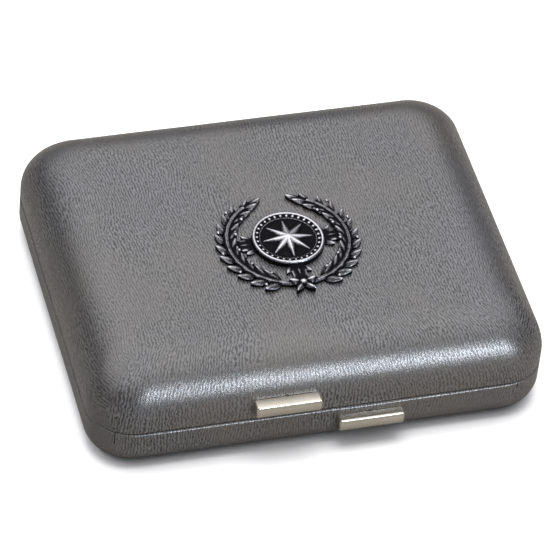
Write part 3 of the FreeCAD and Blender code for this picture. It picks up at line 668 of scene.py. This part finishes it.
def sheet_points(station, ring, flat_inset, flat_corner):
    """A station's place on the flat sheet, laid out from the side before its corner and the side after."""
    inset, z, corner, run = ring
    if run == 0:
        plain = station_point(station, inset, corner)
        return plain, plain
    signs, angle, other, part = station
    flat_point = station_point(station, flat_inset, flat_corner)
    plain = flat_point + facing(station) * run
    if other:
        return plain, plain
    side = corner_side(signs)
    before, after = facing((signs, side)), facing((signs, side + 90))
    middle = flat_point - facing(station) * flat_corner
    turned = math.radians(angle - side)
    from_before = middle + before * (flat_corner + run) + after * corner * turned
    from_after = middle + after * (flat_corner + run) + before * corner * (math.pi / 2 - turned)
    laid = ease(run / LAID_RUN)
    return plain.lerp(from_before, laid), plain.lerp(from_after, laid)


def corner_turn(station):
    """How far a station has gone round its corner, from nothing to all."""
    signs, angle, other, part = station
    return 0.0 if other else (angle - corner_side(signs)) / 90


def cover_form(half):
    """The closed form of a covering, drawn ring by ring, with its sheet maps."""
    rings, flat_inset, flat_corner = cover_rings(half)
    bm = bmesh.new()
    bmesh.ops.create_circle(bm, cap_ends=False, radius=1.0, segments=len(STATIONS))
    where = bm.verts.layers.int.new("station")
    sheet = bm.verts.layers.float_vector.new("sheet_point")
    sheet_after = bm.verts.layers.float_vector.new("sheet_after_point")
    bm.verts.ensure_lookup_table()
    for number, vert in enumerate(bm.verts):
        vert[where] = number
    verts, edges = list(bm.verts), list(bm.edges)
    for number, ring in enumerate(rings):
        if number:
            made = bmesh.ops.extrude_edge_only(bm, edges=edges)["geom"]
            verts = only(made, BMVert)
            edges = [edge for edge in only(made, BMEdge) if edge.is_boundary]
        inset, z, corner, run = ring
        for vert in verts:
            station = STATIONS[vert[where]]
            point = station_point(station, inset, corner)
            swell = cover_swell(half, station, point, ring)
            on_flat = run == 0
            vert[sheet], vert[sheet_after] = sheet_points(station, ring, flat_inset, flat_corner)
            upright = Vector((0, 0, swell if half == "lid" else 0))
            vert.co = point + Vector((0, 0, z)) + (upright if on_flat else facing(station) * swell)
    bmesh.ops.holes_fill(bm, edges=[edge for edge in bm.edges if edge.is_boundary], sides=0)
    bmesh.ops.recalc_face_normals(bm, faces=bm.faces)
    before_map = bm.loops.layers.uv.new("sheet")
    after_map = bm.loops.layers.uv.new("sheet_after")
    turn_map = bm.loops.layers.uv.new("corner_turn")
    for face in bm.faces:
        turns = [corner_turn(STATIONS[loop.vert[where]]) for loop in face.loops]
        on_corner = any(0 < turn < 1 for turn in turns)
        for loop, turn in zip(face.loops, turns):
            before, after = loop.vert[sheet], loop.vert[sheet_after]
            if not on_corner:
                before = after = after if turn == 1 else before
            loop[before_map].uv = before.xy * SHEET_SCALE
            loop[after_map].uv = after.xy * SHEET_SCALE
            loop[turn_map].uv = (ease((turn - TURN_START) / TURN_SPAN), 0)
    return bm


def cover_cutters(half):
    """What is cut out of a covering, as two bmeshes: the hinge gap, slot, slits and holes, then the rooms."""
    size = sizes()
    first, second = bmesh.new(), bmesh.new()
    far = HALF_Y + CUT_PAST
    leaf_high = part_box(f"{half}_hinge_leaf")[1]
    tab_low, tab_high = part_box(f"{half}_tab")
    pin = (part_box("hinge_pin")[0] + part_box("hinge_pin")[1]) / 2
    wide = HALF_X * 1.1
    add_box(first, (-wide, pin.y - HINGE_GAP, pin.z - HINGE_GAP), (wide, far, pin.z + HINGE_GAP))
    middle = (tab_low.x + tab_high.x) / 2
    half_slot = size.tongue / 2 + SLOT_SPARE
    slot_low = tab_high.z - size.tab_sheet - SLOT_SPARE
    slot_end = (middle + half_slot, tab_high.y + ROOM_SPARE, tab_high.z + SLOT_SPARE)
    add_box(first, (middle - half_slot, -far, slot_low), slot_end)
    place = Matrix.Translation((middle, -HALF_Y - NOTCH_OUT, tab_high.z))
    add_rod(second, NOTCH_RADIUS, NOTCH_LONG, place @ Matrix.Rotation(math.pi / 2, 4, "X"), 16)
    room_x = leaf_high.x + LEAF_SPARE
    room_back = HALF_Y - size.wall - size.skin
    if half == "base":
        for side, angle, tall in CORNER_SLITS:
            turn = math.radians(angle)
            out = Vector((side * math.cos(turn), -math.sin(turn), 0))
            spot = Vector((side * (HALF_X - size.corner), size.corner - HALF_Y, 0)) + out * size.corner
            low = (-SLIT_REACH, -SLIT_HALF, BASE_HIGH.z - tall)
            high = (SLIT_PAST, SLIT_HALF, BASE_HIGH.z + SLIT_PAST)
            add_box(first, low, high, math.atan2(out.y, out.x), spot)
        room_end = (room_x, HALF_Y - SHELL_FACE, pin.z - HINGE_GAP / 2)
        add_box(second, (-room_x, room_back, ROOM_FOOT), room_end)
        room_side = half_slot + ROOM_SPARE
        room_end = (middle + room_side, -room_back, tab_high.z + ROOM_SPARE)
        add_box(second, (middle - room_side, -HALF_Y + SHELL_FACE, ROOM_FOOT), room_end)
    else:
        nut_low, nut_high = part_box("emblem_nuts")
        for x in (-1, 1):
            spot = (x * (nut_high.x - POST_IN), (nut_low.y + nut_high.y) / 2, LID_HIGH.z)
            add_rod(first, POST_HOLE, POST_DEEP, Matrix.Translation(spot), 24)
        room_end = (room_x, HALF_Y - SHELL_FACE, LID_LOW.z + size.lid_wall)
        add_box(second, (-room_x, room_back, pin.z + HINGE_GAP / 2), room_end)
    return first, second


class COINCASE_OT_coverings(bpy.types.Operator):
    """Wrap both halves in grained leatherette, turned over the rims"""
    bl_idname = "coincase.coverings"
    bl_label = "Coverings"

    def execute(self, context):
        material = leather_material()
        for half in ("lid", "base"):
            cover = make_object(f"{half}_cover", cover_form(half))
            for cutter in cover_cutters(half):
                cut(cover, cutter)
            smooth(cover, 40)
            dress(cover, half, material, "leatherette", f"{half}_leatherette")
        return {"FINISHED"}


# Finger tabs

TAB_CROWN = 0.2 * MM
CROWN_STEPS = 6
TAB_CLEAR = 0.05 * MM
BEND_REACH = 1.15
PRESSED_THIN = 0.98
FLANGE_DROP = 2.7 * MM
TONGUE_SUNK, FLANGE_LAP = 0.02 * MM, 0.01 * MM


def tab_form(half):
    """A pressed tab: a cap with closed ends, a tongue through the wall and a flange behind it."""
    size = sizes()
    low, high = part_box(f"{half}_tab")
    back = -HALF_Y - TAB_CLEAR
    if half == "lid":
        raised = high.z - LID_LOW.z - size.lid_wall
        lean = math.asin(raised / (LID_HIGH.z - LID_LOW.z - size.lid_wall))
        back += size.shoulder * (1 - math.cos(lean))
    drop = high.z - size.tab_tall
    bm = bmesh.new()
    add_box(bm, (low.x, low.y, drop), (high.x, back, high.z))
    gone = [face for face in bm.faces if face.normal.z < -0.5 or face.normal.y > 0.5]
    bmesh.ops.delete(bm, geom=gone, context="FACES")
    bends = [edge for edge in bm.edges if not edge.is_boundary]
    round_edges(bm, bends, size.tab_bend, 5)
    flat = size.tab_bend * BEND_REACH
    loops = [((low.x + flat, 0, 0), (1, 0, 0)), ((high.x - flat, 0, 0), (1, 0, 0))]
    loops.append(((0, low.y + flat, 0), (0, 1, 0)))
    face_tall = size.tab_tall - flat
    for step in range(1, CROWN_STEPS + 1):
        loops.append(((0, 0, drop + face_tall * step / CROWN_STEPS), (0, 0, 1)))
    for spot, way in loops:
        parts = list(bm.verts) + list(bm.edges) + list(bm.faces)
        bmesh.ops.bisect_plane(bm, geom=parts, plane_co=spot, plane_no=way)
    for vert in bm.verts:
        near_front = max(1 - (vert.co.y - low.y) / flat, 0.0)
        level = min((vert.co.z - drop) / (face_tall / 2) - 1, 1.0)
        vert.co.y += TAB_CROWN * level ** 2 * near_front
    bmesh.ops.recalc_face_normals(bm, faces=bm.faces)
    bmesh.ops.solidify(bm, geom=list(bm.faces), thickness=size.tab_sheet * PRESSED_THIN)
    middle = (low.x + high.x) / 2
    left, right = middle - size.tongue / 2, middle + size.tongue / 2
    under = high.z - size.tab_sheet
    add_box(bm, (left, -HALF_Y - size.tab_sheet, under), (right, high.y, high.z - TONGUE_SUNK))
    flange_low = (left, high.y - size.tab_sheet, high.z - FLANGE_DROP)
    add_box(bm, flange_low, (right, high.y, under + FLANGE_LAP))
    bmesh.ops.recalc_face_normals(bm, faces=bm.faces)
    return bm


class COINCASE_OT_finger_tabs(bpy.types.Operator):
    """Press the two nickel finger tabs"""
    bl_idname = "coincase.finger_tabs"
    bl_label = "Finger tabs"

    def execute(self, context):
        material = metal_material(
            "champagne_nickel", colours().nickel, dark=0.94, rough=0.25, stretch=(0.12, 1, 1),
            brush_depth=0.0015 * MM, metallic=0.87,
        )
        for half in ("lid", "base"):
            tab = make_object(f"{half}_finger_tab", tab_form(half))
            smooth(tab, 40)
            dress(tab, half, material, "tab_nickel", f"{half}_tab")
        return {"FINISHED"}


# Emblem

BRANCH_STEPS = 11
BRANCH_START = 20
BRANCH_PITCH = 12.4
STEM_SWEEP = math.radians(148)
STEM_OUTLINE = [(-0.6, 0), (-0.6, 0.75), (-0.25, 1.1), (0.25, 1.1), (0.6, 0.75), (0.6, 0)]
BOSS_OUTLINE = [(0, 1.3), (0.3, 1.7), (0.6, 1.7), (0.85, 1.25), (1.5, 1.15), (1.75, 1.35), (2.0, 1.05)]
LEAF_PAIR = ((1, 34, 1.0), (-1, 38, 0.86))
BERRY, BERRY_OUT, BERRY_UP = 0.42 * MM, 1.9 * MM, 1.05 * MM
BEADS = 32
BEAD, BEAD_IN, BEAD_UP = 0.36 * MM, 1.15 * MM, 1.25 * MM
BOSS_FLOOR = 1.2 * MM
TIE_HALF, TIE_TALL = 1.6 * MM, 0.7 * MM
KNOT, KNOT_UP = 1.0 * MM, 0.8 * MM
KNOT_LEAVES = ((74, 0.62, 1.35), (142, 0.66, 0.9))
CAST_LIFT = 0.05 * MM
CAST_VOXEL = 0.17 * MM

# Rubbed wear and painted highlight: rounds of smoothing and full heights of ridges and of what stands up, and
# where crowns begin
RIDGE_ROUNDS, STAND_ROUNDS = 6, 24
RIDGE_FULL, STAND_FULL = 0.1 * MM, 0.3 * MM
CROWN_FOOT, CROWN_RISE = 1.3 * MM, 0.7 * MM


def leaf_mesh():
    """One laurel leaf, a solid along +Y from its stalk, with a raised midrib and a lifted tip."""
    size = sizes()
    bm = bmesh.new()
    bmesh.ops.create_grid(bm, x_segments=6, y_segments=10, size=0.5)
    for vert in bm.verts:
        along = vert.co.y + 0.5
        across = vert.co.x * 2
        half_width = size.leaf_wide / 2 * math.sin(math.pi * along ** 0.8) ** 0.85
        rise = 0.45 + 0.75 * math.sin(math.pi * min(along * 1.1, 1) / 2)
        rib = 0.38 * (1 - abs(across)) * (1 - 0.6 * along) - 0.25 * across ** 2
        vert.co = Vector((across * half_width, along * size.leaf_long, (rise + rib) * MM))
    bmesh.ops.remove_doubles(bm, verts=bm.verts, dist=0.01 * MM)
    made = bmesh.ops.extrude_face_region(bm, geom=list(bm.faces))["geom"]
    for vert in only(made, BMVert):
        vert.co.z = 0.0
    bmesh.ops.recalc_face_normals(bm, faces=bm.faces)
    mesh = bpy.data.meshes.new("leaf")
    bm.to_mesh(mesh)
    bm.free()
    return mesh


def add_copy(bm, mesh, place):
    """A copy of a mesh, placed by a matrix."""
    before = set(bm.verts)
    bm.from_mesh(mesh)
    bmesh.ops.transform(bm, matrix=place, verts=[vert for vert in bm.verts if vert not in before])


def lathe(bm, outline):
    """A turned shape from an outline of radius and height, closed at the axis."""
    verts = [bm.verts.new((radius, 0, height)) for radius, height in outline]
    edges = [bm.edges.new(pair) for pair in zip(verts, verts[1:])]
    bmesh.ops.spin(
        bm, geom=verts + edges, cent=(0, 0, 0), axis=(0, 0, 1), angle=math.tau, steps=64, use_merge=True
    )


def add_star(bm, points, outer, inner, foot, edge, top):
    """A faceted star with ridges from its points to a peak."""
    made = bmesh.ops.create_circle(bm, cap_ends=False, radius=1.0, segments=points * 2)["verts"]
    for number, vert in enumerate(made):
        angle = math.pi * number / points + math.pi / 2
        radius = inner if number % 2 else outer
        vert.co = (radius * math.cos(angle), radius * math.sin(angle), foot)
    ring = list({side for vert in made for side in vert.link_edges})
    raised = bmesh.ops.extrude_edge_only(bm, edges=ring)["geom"]
    verts = only(raised, BMVert)
    rim = [side for side in only(raised, BMEdge) if all(vert in verts for vert in side.verts)]
    for vert in verts:
        vert.co.z = edge
    peak = bmesh.ops.extrude_edge_only(bm, edges=rim)["geom"]
    bmesh.ops.pointmerge(bm, verts=only(peak, BMVert), merge_co=(0, 0, top))
    bmesh.ops.contextual_create(bm, geom=ring)


def branch_spot(step, side, stem):
    """A place along one branch, as a point on its stem and a heading."""
    turn = math.radians(BRANCH_START + BRANCH_PITCH * step)
    spot = Vector((side * math.sin(turn), -math.cos(turn), 0)) * stem
    return spot, math.atan2(side * math.cos(turn), math.sin(turn))


def add_branches(bm, leaf, stem):
    """Two laurel branches with pairs of leaves, berries and stems."""
    for side in (-1, 1):
        for step in range(BRANCH_STEPS):
            spot, heading = branch_spot(step, side, stem)
            closed = 0.55 if step == BRANCH_STEPS - 1 else 1.0
            for way, spread, grow in LEAF_PAIR:
                lean = math.radians(spread * closed) * way * side
                place = Matrix.Translation(spot) @ spun(lean - heading)
                add_copy(bm, leaf, place @ Matrix.Scale(grow * (1.0 - 0.02 * step), 4))
            if step % 2:
                for out in (-BERRY_OUT, BERRY_OUT):
                    berry = spot * (1 + out / stem) + Vector((0, 0, BERRY_UP))
                    add_ball(bm, BERRY, Matrix.Translation(berry))
        spot, heading = branch_spot(BRANCH_STEPS - 0.4, side, stem)
        add_copy(bm, leaf, Matrix.Translation(spot) @ spun(-heading) @ Matrix.Scale(0.8, 4))
    for side in (-1, 1):
        verts = [bm.verts.new((0, -stem - out * MM, up * MM)) for out, up in STEM_OUTLINE]
        edges = [bm.edges.new(pair) for pair in zip(verts, verts[1:] + verts[:1])]
        face = bm.faces.new(verts)
        bmesh.ops.spin(
            bm, geom=verts + edges + [face], cent=(0, 0, 0), axis=(0, 0, 1),
            angle=side * STEM_SWEEP, steps=40, use_merge=False,
        )


def add_boss(bm, boss):
    """The middle boss with its beads and star."""
    profile = [(0, 0), (boss, 0)] + [(boss - inward * MM, up * MM) for inward, up in BOSS_OUTLINE]
    lathe(bm, profile + [(0, BOSS_FLOOR)])
    for step in range(BEADS):
        turn = math.tau * step / BEADS
        out = Vector((math.cos(turn), math.sin(turn), 0))
        bead = out * (boss - BEAD_IN) + Vector((0, 0, BEAD_UP))
        add_ball(bm, BEAD, Matrix.Translation(bead))
    add_star(
        bm, points=8, outer=5.6 * MM, inner=2.9 * MM, foot=0.6 * MM, edge=1.25 * MM, top=2.4 * MM
    )


def add_ties(bm, leaf, stem, boss):
    """Bars with sprays of leaves that join the boss to the wreath, and the knot at its foot."""
    add_box(bm, (-stem, -TIE_HALF, 0), (stem, TIE_HALF, TIE_TALL))
    add_box(bm, (-TIE_HALF, -stem, 0), (TIE_HALF, 0, TIE_TALL))
    for turn in (90, -90, 180):
        for lean in (-24, 0, 24):
            place = spun(math.radians(turn + lean * 0.35)) @ Matrix.Translation((0, boss * 0.93, 0))
            add_copy(bm, leaf, place @ spun(math.radians(lean)) @ Matrix.Scale(0.62, 4))
    knot = Vector((0, -stem, 0))
    for side in (-1, 1):
        for angle, grow, wide in KNOT_LEAVES:
            place = Matrix.Translation(knot) @ spun(math.radians(angle) * side)
            add_copy(bm, leaf, place @ Matrix.Diagonal((grow * wide, grow, 1.2, 1)))
    place = Matrix.Translation(knot + Vector((0, 0, KNOT_UP))) @ Matrix.Diagonal((1.0, 0.85, 0.85, 1))
    add_ball(bm, KNOT, place, 3)


def emblem_form():
    """A wreath of two laurel branches round a boss with a star, tied at the front."""
    low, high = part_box("emblem")
    size = sizes()
    stem = high.x - size.wreath_band / 2
    leaf = leaf_mesh()
    bm = bmesh.new()
    add_branches(bm, leaf, stem)
    add_boss(bm, size.boss)
    add_ties(bm, leaf, stem, size.boss)
    bmesh.ops.recalc_face_normals(bm, faces=bm.faces)
    middle = Vector((0, low.y + high.x, LID_HIGH.z + CAST_LIFT))
    bmesh.ops.translate(bm, vec=middle, verts=bm.verts)
    bpy.data.meshes.remove(leaf)
    return bm


def mark_wear_and_highlight(item, foot):
    """Store how far each point stands above what is round it, and how far it faces up, for rubbed wear, dark
    patina and painted highlight.
    """
    bm = bmesh.new()
    bm.from_mesh(item.data)
    bm.verts.ensure_lookup_table()
    height = [vert.co.z - foot for vert in bm.verts]
    near = [[edge.other_vert(vert).index for edge in vert.link_edges] for vert in bm.verts]
    mean = list(height)
    means = []
    for done in range(1, STAND_ROUNDS + 1):
        mean = [
            (mean[spot] + sum(mean[other] for other in others)) / (1 + len(others))
            for spot, others in enumerate(near)
        ]
        if done in (RIDGE_ROUNDS, STAND_ROUNDS):
            means.append(mean)
    wear_and_highlight = bm.verts.layers.float.new("wear_and_highlight")
    for vert in bm.verts:
        place = vert.index
        ridge = (height[place] - means[0][place]) / RIDGE_FULL
        stands = (height[place] - means[1][place]) / STAND_FULL
        crown = ease((height[place] - CROWN_FOOT) / CROWN_RISE)
        # Ridges, raised parts and crowns are rubbed wear that doubles as painted highlight; the term for
        # faces that point up is painted top light.
        rubbed_and_highlit = 0.3 + 0.35 * ridge + 0.35 * stands + 0.1 * max(vert.normal.z, 0.0) + 0.45 * crown
        vert[wear_and_highlight] = min(max(rubbed_and_highlit, 0.0), 1.0)
    bm.to_mesh(item.data)
    bm.free()


class COINCASE_OT_emblem(bpy.types.Operator):
    """Cast the pewter wreath and star on the lid"""
    bl_idname = "coincase.emblem"
    bl_label = "Emblem"

    def execute(self, context):
        emblem = make_object("lid_emblem", emblem_form())
        fuse = emblem.modifiers.new("fuse", "REMESH")
        fuse.mode = "VOXEL"
        fuse.voxel_size = CAST_VOXEL
        bake_modifiers(emblem)
        mark_wear_and_highlight(emblem, LID_HIGH.z)
        smooth(emblem, 180)
        dress(emblem, "lid", pewter_material(), "pewter", "emblem")
        return {"FINISHED"}


# Soft linings

PAD_CORNER = 6.8 * MM
HELD_BAND = 0.9 * MM
INSERT_SWELL, INSERT_EDGE, INSERT_FREE = 0.15 * MM, 1.2 * MM, 1.3 * MM
CUSHION_SWELL, CUSHION_EDGE, CUSHION_FREE = 0.9 * MM, 1.0 * MM, 1.2 * MM
LEVEL = 1e-6
CLOTH_SCALE = 10.0
CLOTH_FRAMES = 20


def rounded_slab(low, high, corner, soft):
    """A slab with round plan corners and softened edges."""
    bm = bmesh.new()
    add_box(bm, low, high)
    upright = [edge for edge in bm.edges if abs(edge.verts[0].co.z - edge.verts[1].co.z) > LEVEL]
    round_edges(bm, upright, corner, 8)
    level = [edge for edge in bm.edges if abs(edge.verts[0].co.z - edge.verts[1].co.z) < LEVEL]
    round_edges(bm, level, soft, 4)
    return bm


def plump(item, voxel, pressure, slack, most, is_held):
    """Fill a pad as cloth under pressure, enlarged while it is filled, with some points held."""
    item.data.transform(Matrix.Scale(CLOTH_SCALE, 4))
    remesh = item.modifiers.new("even", "REMESH")
    remesh.mode = "VOXEL"
    remesh.voxel_size = voxel * CLOTH_SCALE
    bake_modifiers(item)
    start = [vert.co.copy() for vert in item.data.vertices]
    held = item.vertex_groups.new(name="held")
    numbers = [number for number, point in enumerate(start) if is_held(point / CLOTH_SCALE)]
    held.add(numbers, 1.0, "REPLACE")
    cloth = item.modifiers.new("cloth", "CLOTH")
    cloth.settings.quality = 6
    cloth.settings.bending_stiffness = 0.3
    cloth.settings.use_pressure = True
    cloth.settings.uniform_pressure_force = pressure
    cloth.settings.vertex_group_mass = "held"
    cloth.settings.shrink_min = -slack
    cloth.settings.effector_weights.gravity = 0.0
    cloth.point_cache.frame_start = 1
    cloth.point_cache.frame_end = CLOTH_FRAMES
    scene = bpy.context.scene
    for step in range(1, CLOTH_FRAMES + 1):
        scene.frame_set(step)
    bake_modifiers(item)
    scene.frame_set(1)
    item.vertex_groups.clear()
    for vert, point in zip(item.data.vertices, start):
        move = vert.co - point
        if move.length > most * CLOTH_SCALE:
            vert.co = point + move.normalized() * most * CLOTH_SCALE
    item.data.transform(Matrix.Scale(1 / CLOTH_SCALE, 4))
    item.data.update()
    item.modifiers.new("finer", "SUBSURF").levels = 1
    bake_modifiers(item)
    smooth(item, 180)


class COINCASE_OT_insert(bpy.types.Operator):
    """Lay the velvet insert with its capsule recess and finger notch"""
    bl_idname = "coincase.insert"
    bl_label = "Capsule insert"

    def execute(self, context):
        size = sizes()
        low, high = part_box("insert_pad")
        top = high.z - INSERT_SWELL
        slab = rounded_slab(low, (high.x, high.y, top), PAD_CORNER, INSERT_EDGE)
        pad = make_object("capsule_insert", slab)
        for radius, y in ((size.recess, 0.0), (size.notch, -size.notch_out)):
            bm = bmesh.new()
            add_rod(bm, radius, 2 * size.recess_deep, Matrix.Translation((0, y, high.z)), 128)
            cut(pad, bm)

        def is_held(point):
            walled = math.hypot(point.x, point.y) < size.recess + HELD_BAND
            notched = math.hypot(point.x, point.y + size.notch_out) < size.notch + HELD_BAND
            return walled or notched or point.z < top - INSERT_FREE

        plump(pad, voxel=0.9 * MM, pressure=4.0, slack=0.0, most=0.35 * MM, is_held=is_held)
        dress(pad, "base", velvet_material(), "velvet", "insert_pad")
        return {"FINISHED"}


class COINCASE_OT_lid_cushion(bpy.types.Operator):
    """Stretch satin over the lid cushion"""
    bl_idname = "coincase.lid_cushion"
    bl_label = "Lid cushion"

    def execute(self, context):
        low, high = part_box("lid_pad")
        face = low.z + CUSHION_SWELL
        slab = rounded_slab((low.x, low.y, face), high, PAD_CORNER, CUSHION_EDGE)
        cushion = make_object("lid_cushion", slab)

        def is_held(point):
            return point.z > face + CUSHION_FREE

        plump(cushion, voxel=1.0 * MM, pressure=6.0, slack=0.03, most=0.9 * MM, is_held=is_held)
        dress(cushion, "lid", satin_material(), "satin", "lid_pad")
        return {"FINISHED"}


# Hidden metal and card

BLUED_STEEL = (0.12, 0.13, 0.17)
MILL_STEEL = (0.36, 0.36, 0.37)
RIVETS = (
    "lid_tab_rivets", "base_tab_rivets", "lid_hinge_rivets", "base_hinge_rivets",
    "cam_spring_rivets", "emblem_nuts",
)


def finish_nodes(material, names):
    """Give CAD nodes that stay their material."""
    for name in names:
        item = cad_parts[name]
        item.data.materials.clear()
        item.data.materials.append(material)


class COINCASE_OT_hinge(bpy.types.Operator):
    """Finish the hinge, its springs and the rivets"""
    bl_idname = "coincase.hinge"
    bl_label = "Hinge and rivets"

    def execute(self, context):
        steel = colours().steel
        plated = metal_material(
            "plated_steel", steel, dark=0.85, rough=0.36, stretch=(0.15, 1, 1), brush_depth=0.02 * MM,
        )
        blued = metal_material(
            "blued_spring_steel", BLUED_STEEL, dark=0.7, rough=0.35, stretch=(1, 1, 0.2),
            brush_depth=0.01 * MM,
        )
        riveted = metal_material(
            "rivet_nickel", shaded(steel, 0.95)[:3], dark=0.8, rough=0.28, stretch=(1, 1, 1),
            brush_depth=0.01 * MM,
        )
        finish_nodes(plated, ("lid_hinge_leaf", "base_hinge_leaf", "hinge_pin"))
        finish_nodes(blued, ("cam_springs",))
        finish_nodes(riveted, RIVETS)
        return {"FINISHED"}


class COINCASE_OT_shells(bpy.types.Operator):
    """Finish the steel shells and the card inside"""
    bl_idname = "coincase.shells"
    bl_label = "Shells and card"

    def execute(self, context):
        mill = metal_material(
            "mill_steel", MILL_STEEL, dark=0.75, rough=0.45, stretch=(1, 0.2, 1), brush_depth=0.02 * MM,
        )
        finish_nodes(mill, ("lid_shell", "base_shell"))
        finish_nodes(card_material(), ("lid_spacer", "lid_board", "insert_board"))
        return {"FINISHED"}


# Stage

CAMERA_AZIMUTH = -18.93
CAMERA_ELEVATION = 44.61
CAMERA_ROLL = 6.15
CAMERA_DISTANCE = 0.9375
CAMERA_LENS = 270.0
SENSOR_WIDTH = 36.0
CAMERA_AIM = (1.502 * MM, 6.118 * MM)
FLOOR_HALF = 3.0
FLOOR_BOUNCE = (0.25, 0.235, 0.21)
LIGHT_DISTANCE = 1.0
TENT_AXIS = (-0.07, 0.22, 0.97)
TENT_COLOUR = (0.98, 0.98, 1.0)
COOL, WARM, WHITE = (0.82, 0.9, 1.0), (1.0, 0.985, 0.95), (1.0, 1.0, 1.0)


def place_camera():
    """The camera at the photograph's angle."""
    turn, rise, roll = (math.radians(angle) for angle in (CAMERA_AZIMUTH, CAMERA_ELEVATION, CAMERA_ROLL))
    back = Vector((math.sin(turn) * math.cos(rise), -math.cos(turn) * math.cos(rise), math.sin(rise)))
    across = Vector((math.cos(turn), math.sin(turn), 0))
    up = back.cross(across)
    right = across * math.cos(roll) + up * math.sin(roll)
    above = up * math.cos(roll) - across * math.sin(roll)
    data = bpy.data.cameras.new("camera")
    data.lens = CAMERA_LENS
    data.sensor_width = SENSOR_WIDTH
    data.clip_start = 0.01
    data.clip_end = 20.0
    camera = bpy.data.objects.new("camera", data)
    bpy.context.scene.collection.objects.link(camera)
    camera.location = back * CAMERA_DISTANCE + right * CAMERA_AIM[0] + above * CAMERA_AIM[1]
    camera.rotation_euler = Matrix((right, above, back)).transposed().to_euler()
    bpy.context.scene.camera = camera


def add_light(name, direction, width, depth, power, tint):
    """A soft area light that faces the case."""
    data = bpy.data.lights.new(name, "AREA")
    data.shape = "RECTANGLE"
    data.size = width
    data.size_y = depth
    data.energy = power
    data.color = tint
    light = bpy.data.objects.new(name, data)
    bpy.context.scene.collection.objects.link(light)
    towards = Vector(direction).normalized()
    light.location = towards * LIGHT_DISTANCE
    light.rotation_euler = towards.to_track_quat("Z", "Y").to_euler()
    return light


def light_floor(light, floor, state):
    """Let a light reach the floor alone, or all but the floor."""
    linked = bpy.data.collections.new(f"{light.name}_reach")
    linked.objects.link(floor)
    linked.collection_objects[0].light_linking.link_state = state
    light.light_linking.receiver_collection = linked


def studio_world():
    """A soft tent of light, bright above the rear and dim towards the front."""
    world = bpy.data.worlds.new("studio")
    world.use_nodes = True
    tree = world.node_tree
    way = add(tree, "ShaderNodeTexCoord").outputs["Generated"]
    level = add(tree, "ShaderNodeVectorMath", {0: way, 1: TENT_AXIS}, operation="DOT_PRODUCT")
    strength = remap(tree, level.outputs["Value"], 0.35, 0.92, 0.05, 2.15)
    feed(tree, tree.nodes["Background"], {"Color": solid(TENT_COLOUR), "Strength": strength})
    return world


class COINCASE_OT_stage(bpy.types.Operator):
    """Lay the floor, set the soft lights and place the camera"""
    bl_idname = "coincase.stage"
    bl_label = "Floor, lights and camera"

    def execute(self, context):
        bm = bmesh.new()
        bmesh.ops.create_grid(bm, x_segments=1, y_segments=1, size=FLOOR_HALF)
        floor = make_object("floor", bm)
        floor.data.materials.append(floor_material())
        context.scene.world = studio_world()
        kicker = add_light("kicker", (0.34, -0.85, 0.39), width=0.5, depth=0.2, power=8.2, tint=COOL)
        kicker.visible_diffuse = False
        fill = add_light("fill", (0.3, -0.85, 0.46), width=0.6, depth=0.45, power=7.9, tint=WARM)
        fill.visible_glossy = False
        light_floor(fill, floor, "EXCLUDE")
        top = add_light("top", (0.0, 0.05, 1.0), width=0.6, depth=0.6, power=8.5, tint=WHITE)
        light_floor(top, floor, "INCLUDE")
        place_camera()
        context.scene.view_settings.view_transform = "Standard"
        return {"FINISHED"}


OPERATORS = (
    COINCASE_OT_coverings,
    COINCASE_OT_finger_tabs,
    COINCASE_OT_emblem,
    COINCASE_OT_insert,
    COINCASE_OT_lid_cushion,
    COINCASE_OT_hinge,
    COINCASE_OT_shells,
    COINCASE_OT_stage,
)


class COINCASE_PT_panel(bpy.types.Panel):
    """Lists the steps that dress the case"""
    bl_idname = "COINCASE_PT_panel"
    bl_label = "Coin presentation box"
    bl_space_type = "VIEW_3D"
    bl_region_type = "UI"
    bl_category = "Coin box"

    def draw(self, context):
        for operator in OPERATORS:
            self.layout.operator(operator.bl_idname)


CLASSES = (CaseSizes, CaseColours) + OPERATORS + (COINCASE_PT_panel,)


def register():
    for item in CLASSES:
        bpy.utils.register_class(item)
    bpy.types.Scene.coin_case_sizes = bpy.props.PointerProperty(type=CaseSizes)
    bpy.types.Scene.coin_case_colours = bpy.props.PointerProperty(type=CaseColours)


def unregister():
    del bpy.types.Scene.coin_case_colours
    del bpy.types.Scene.coin_case_sizes
    for item in reversed(CLASSES):
        bpy.utils.unregister_class(item)


def main():
    register()
    bpy.ops.coincase.coverings()
    bpy.ops.coincase.finger_tabs()
    bpy.ops.coincase.emblem()
    bpy.ops.coincase.insert()
    bpy.ops.coincase.lid_cushion()
    bpy.ops.coincase.hinge()
    bpy.ops.coincase.shells()
    bpy.ops.coincase.stage()


if __name__ == "__main__":
    main()
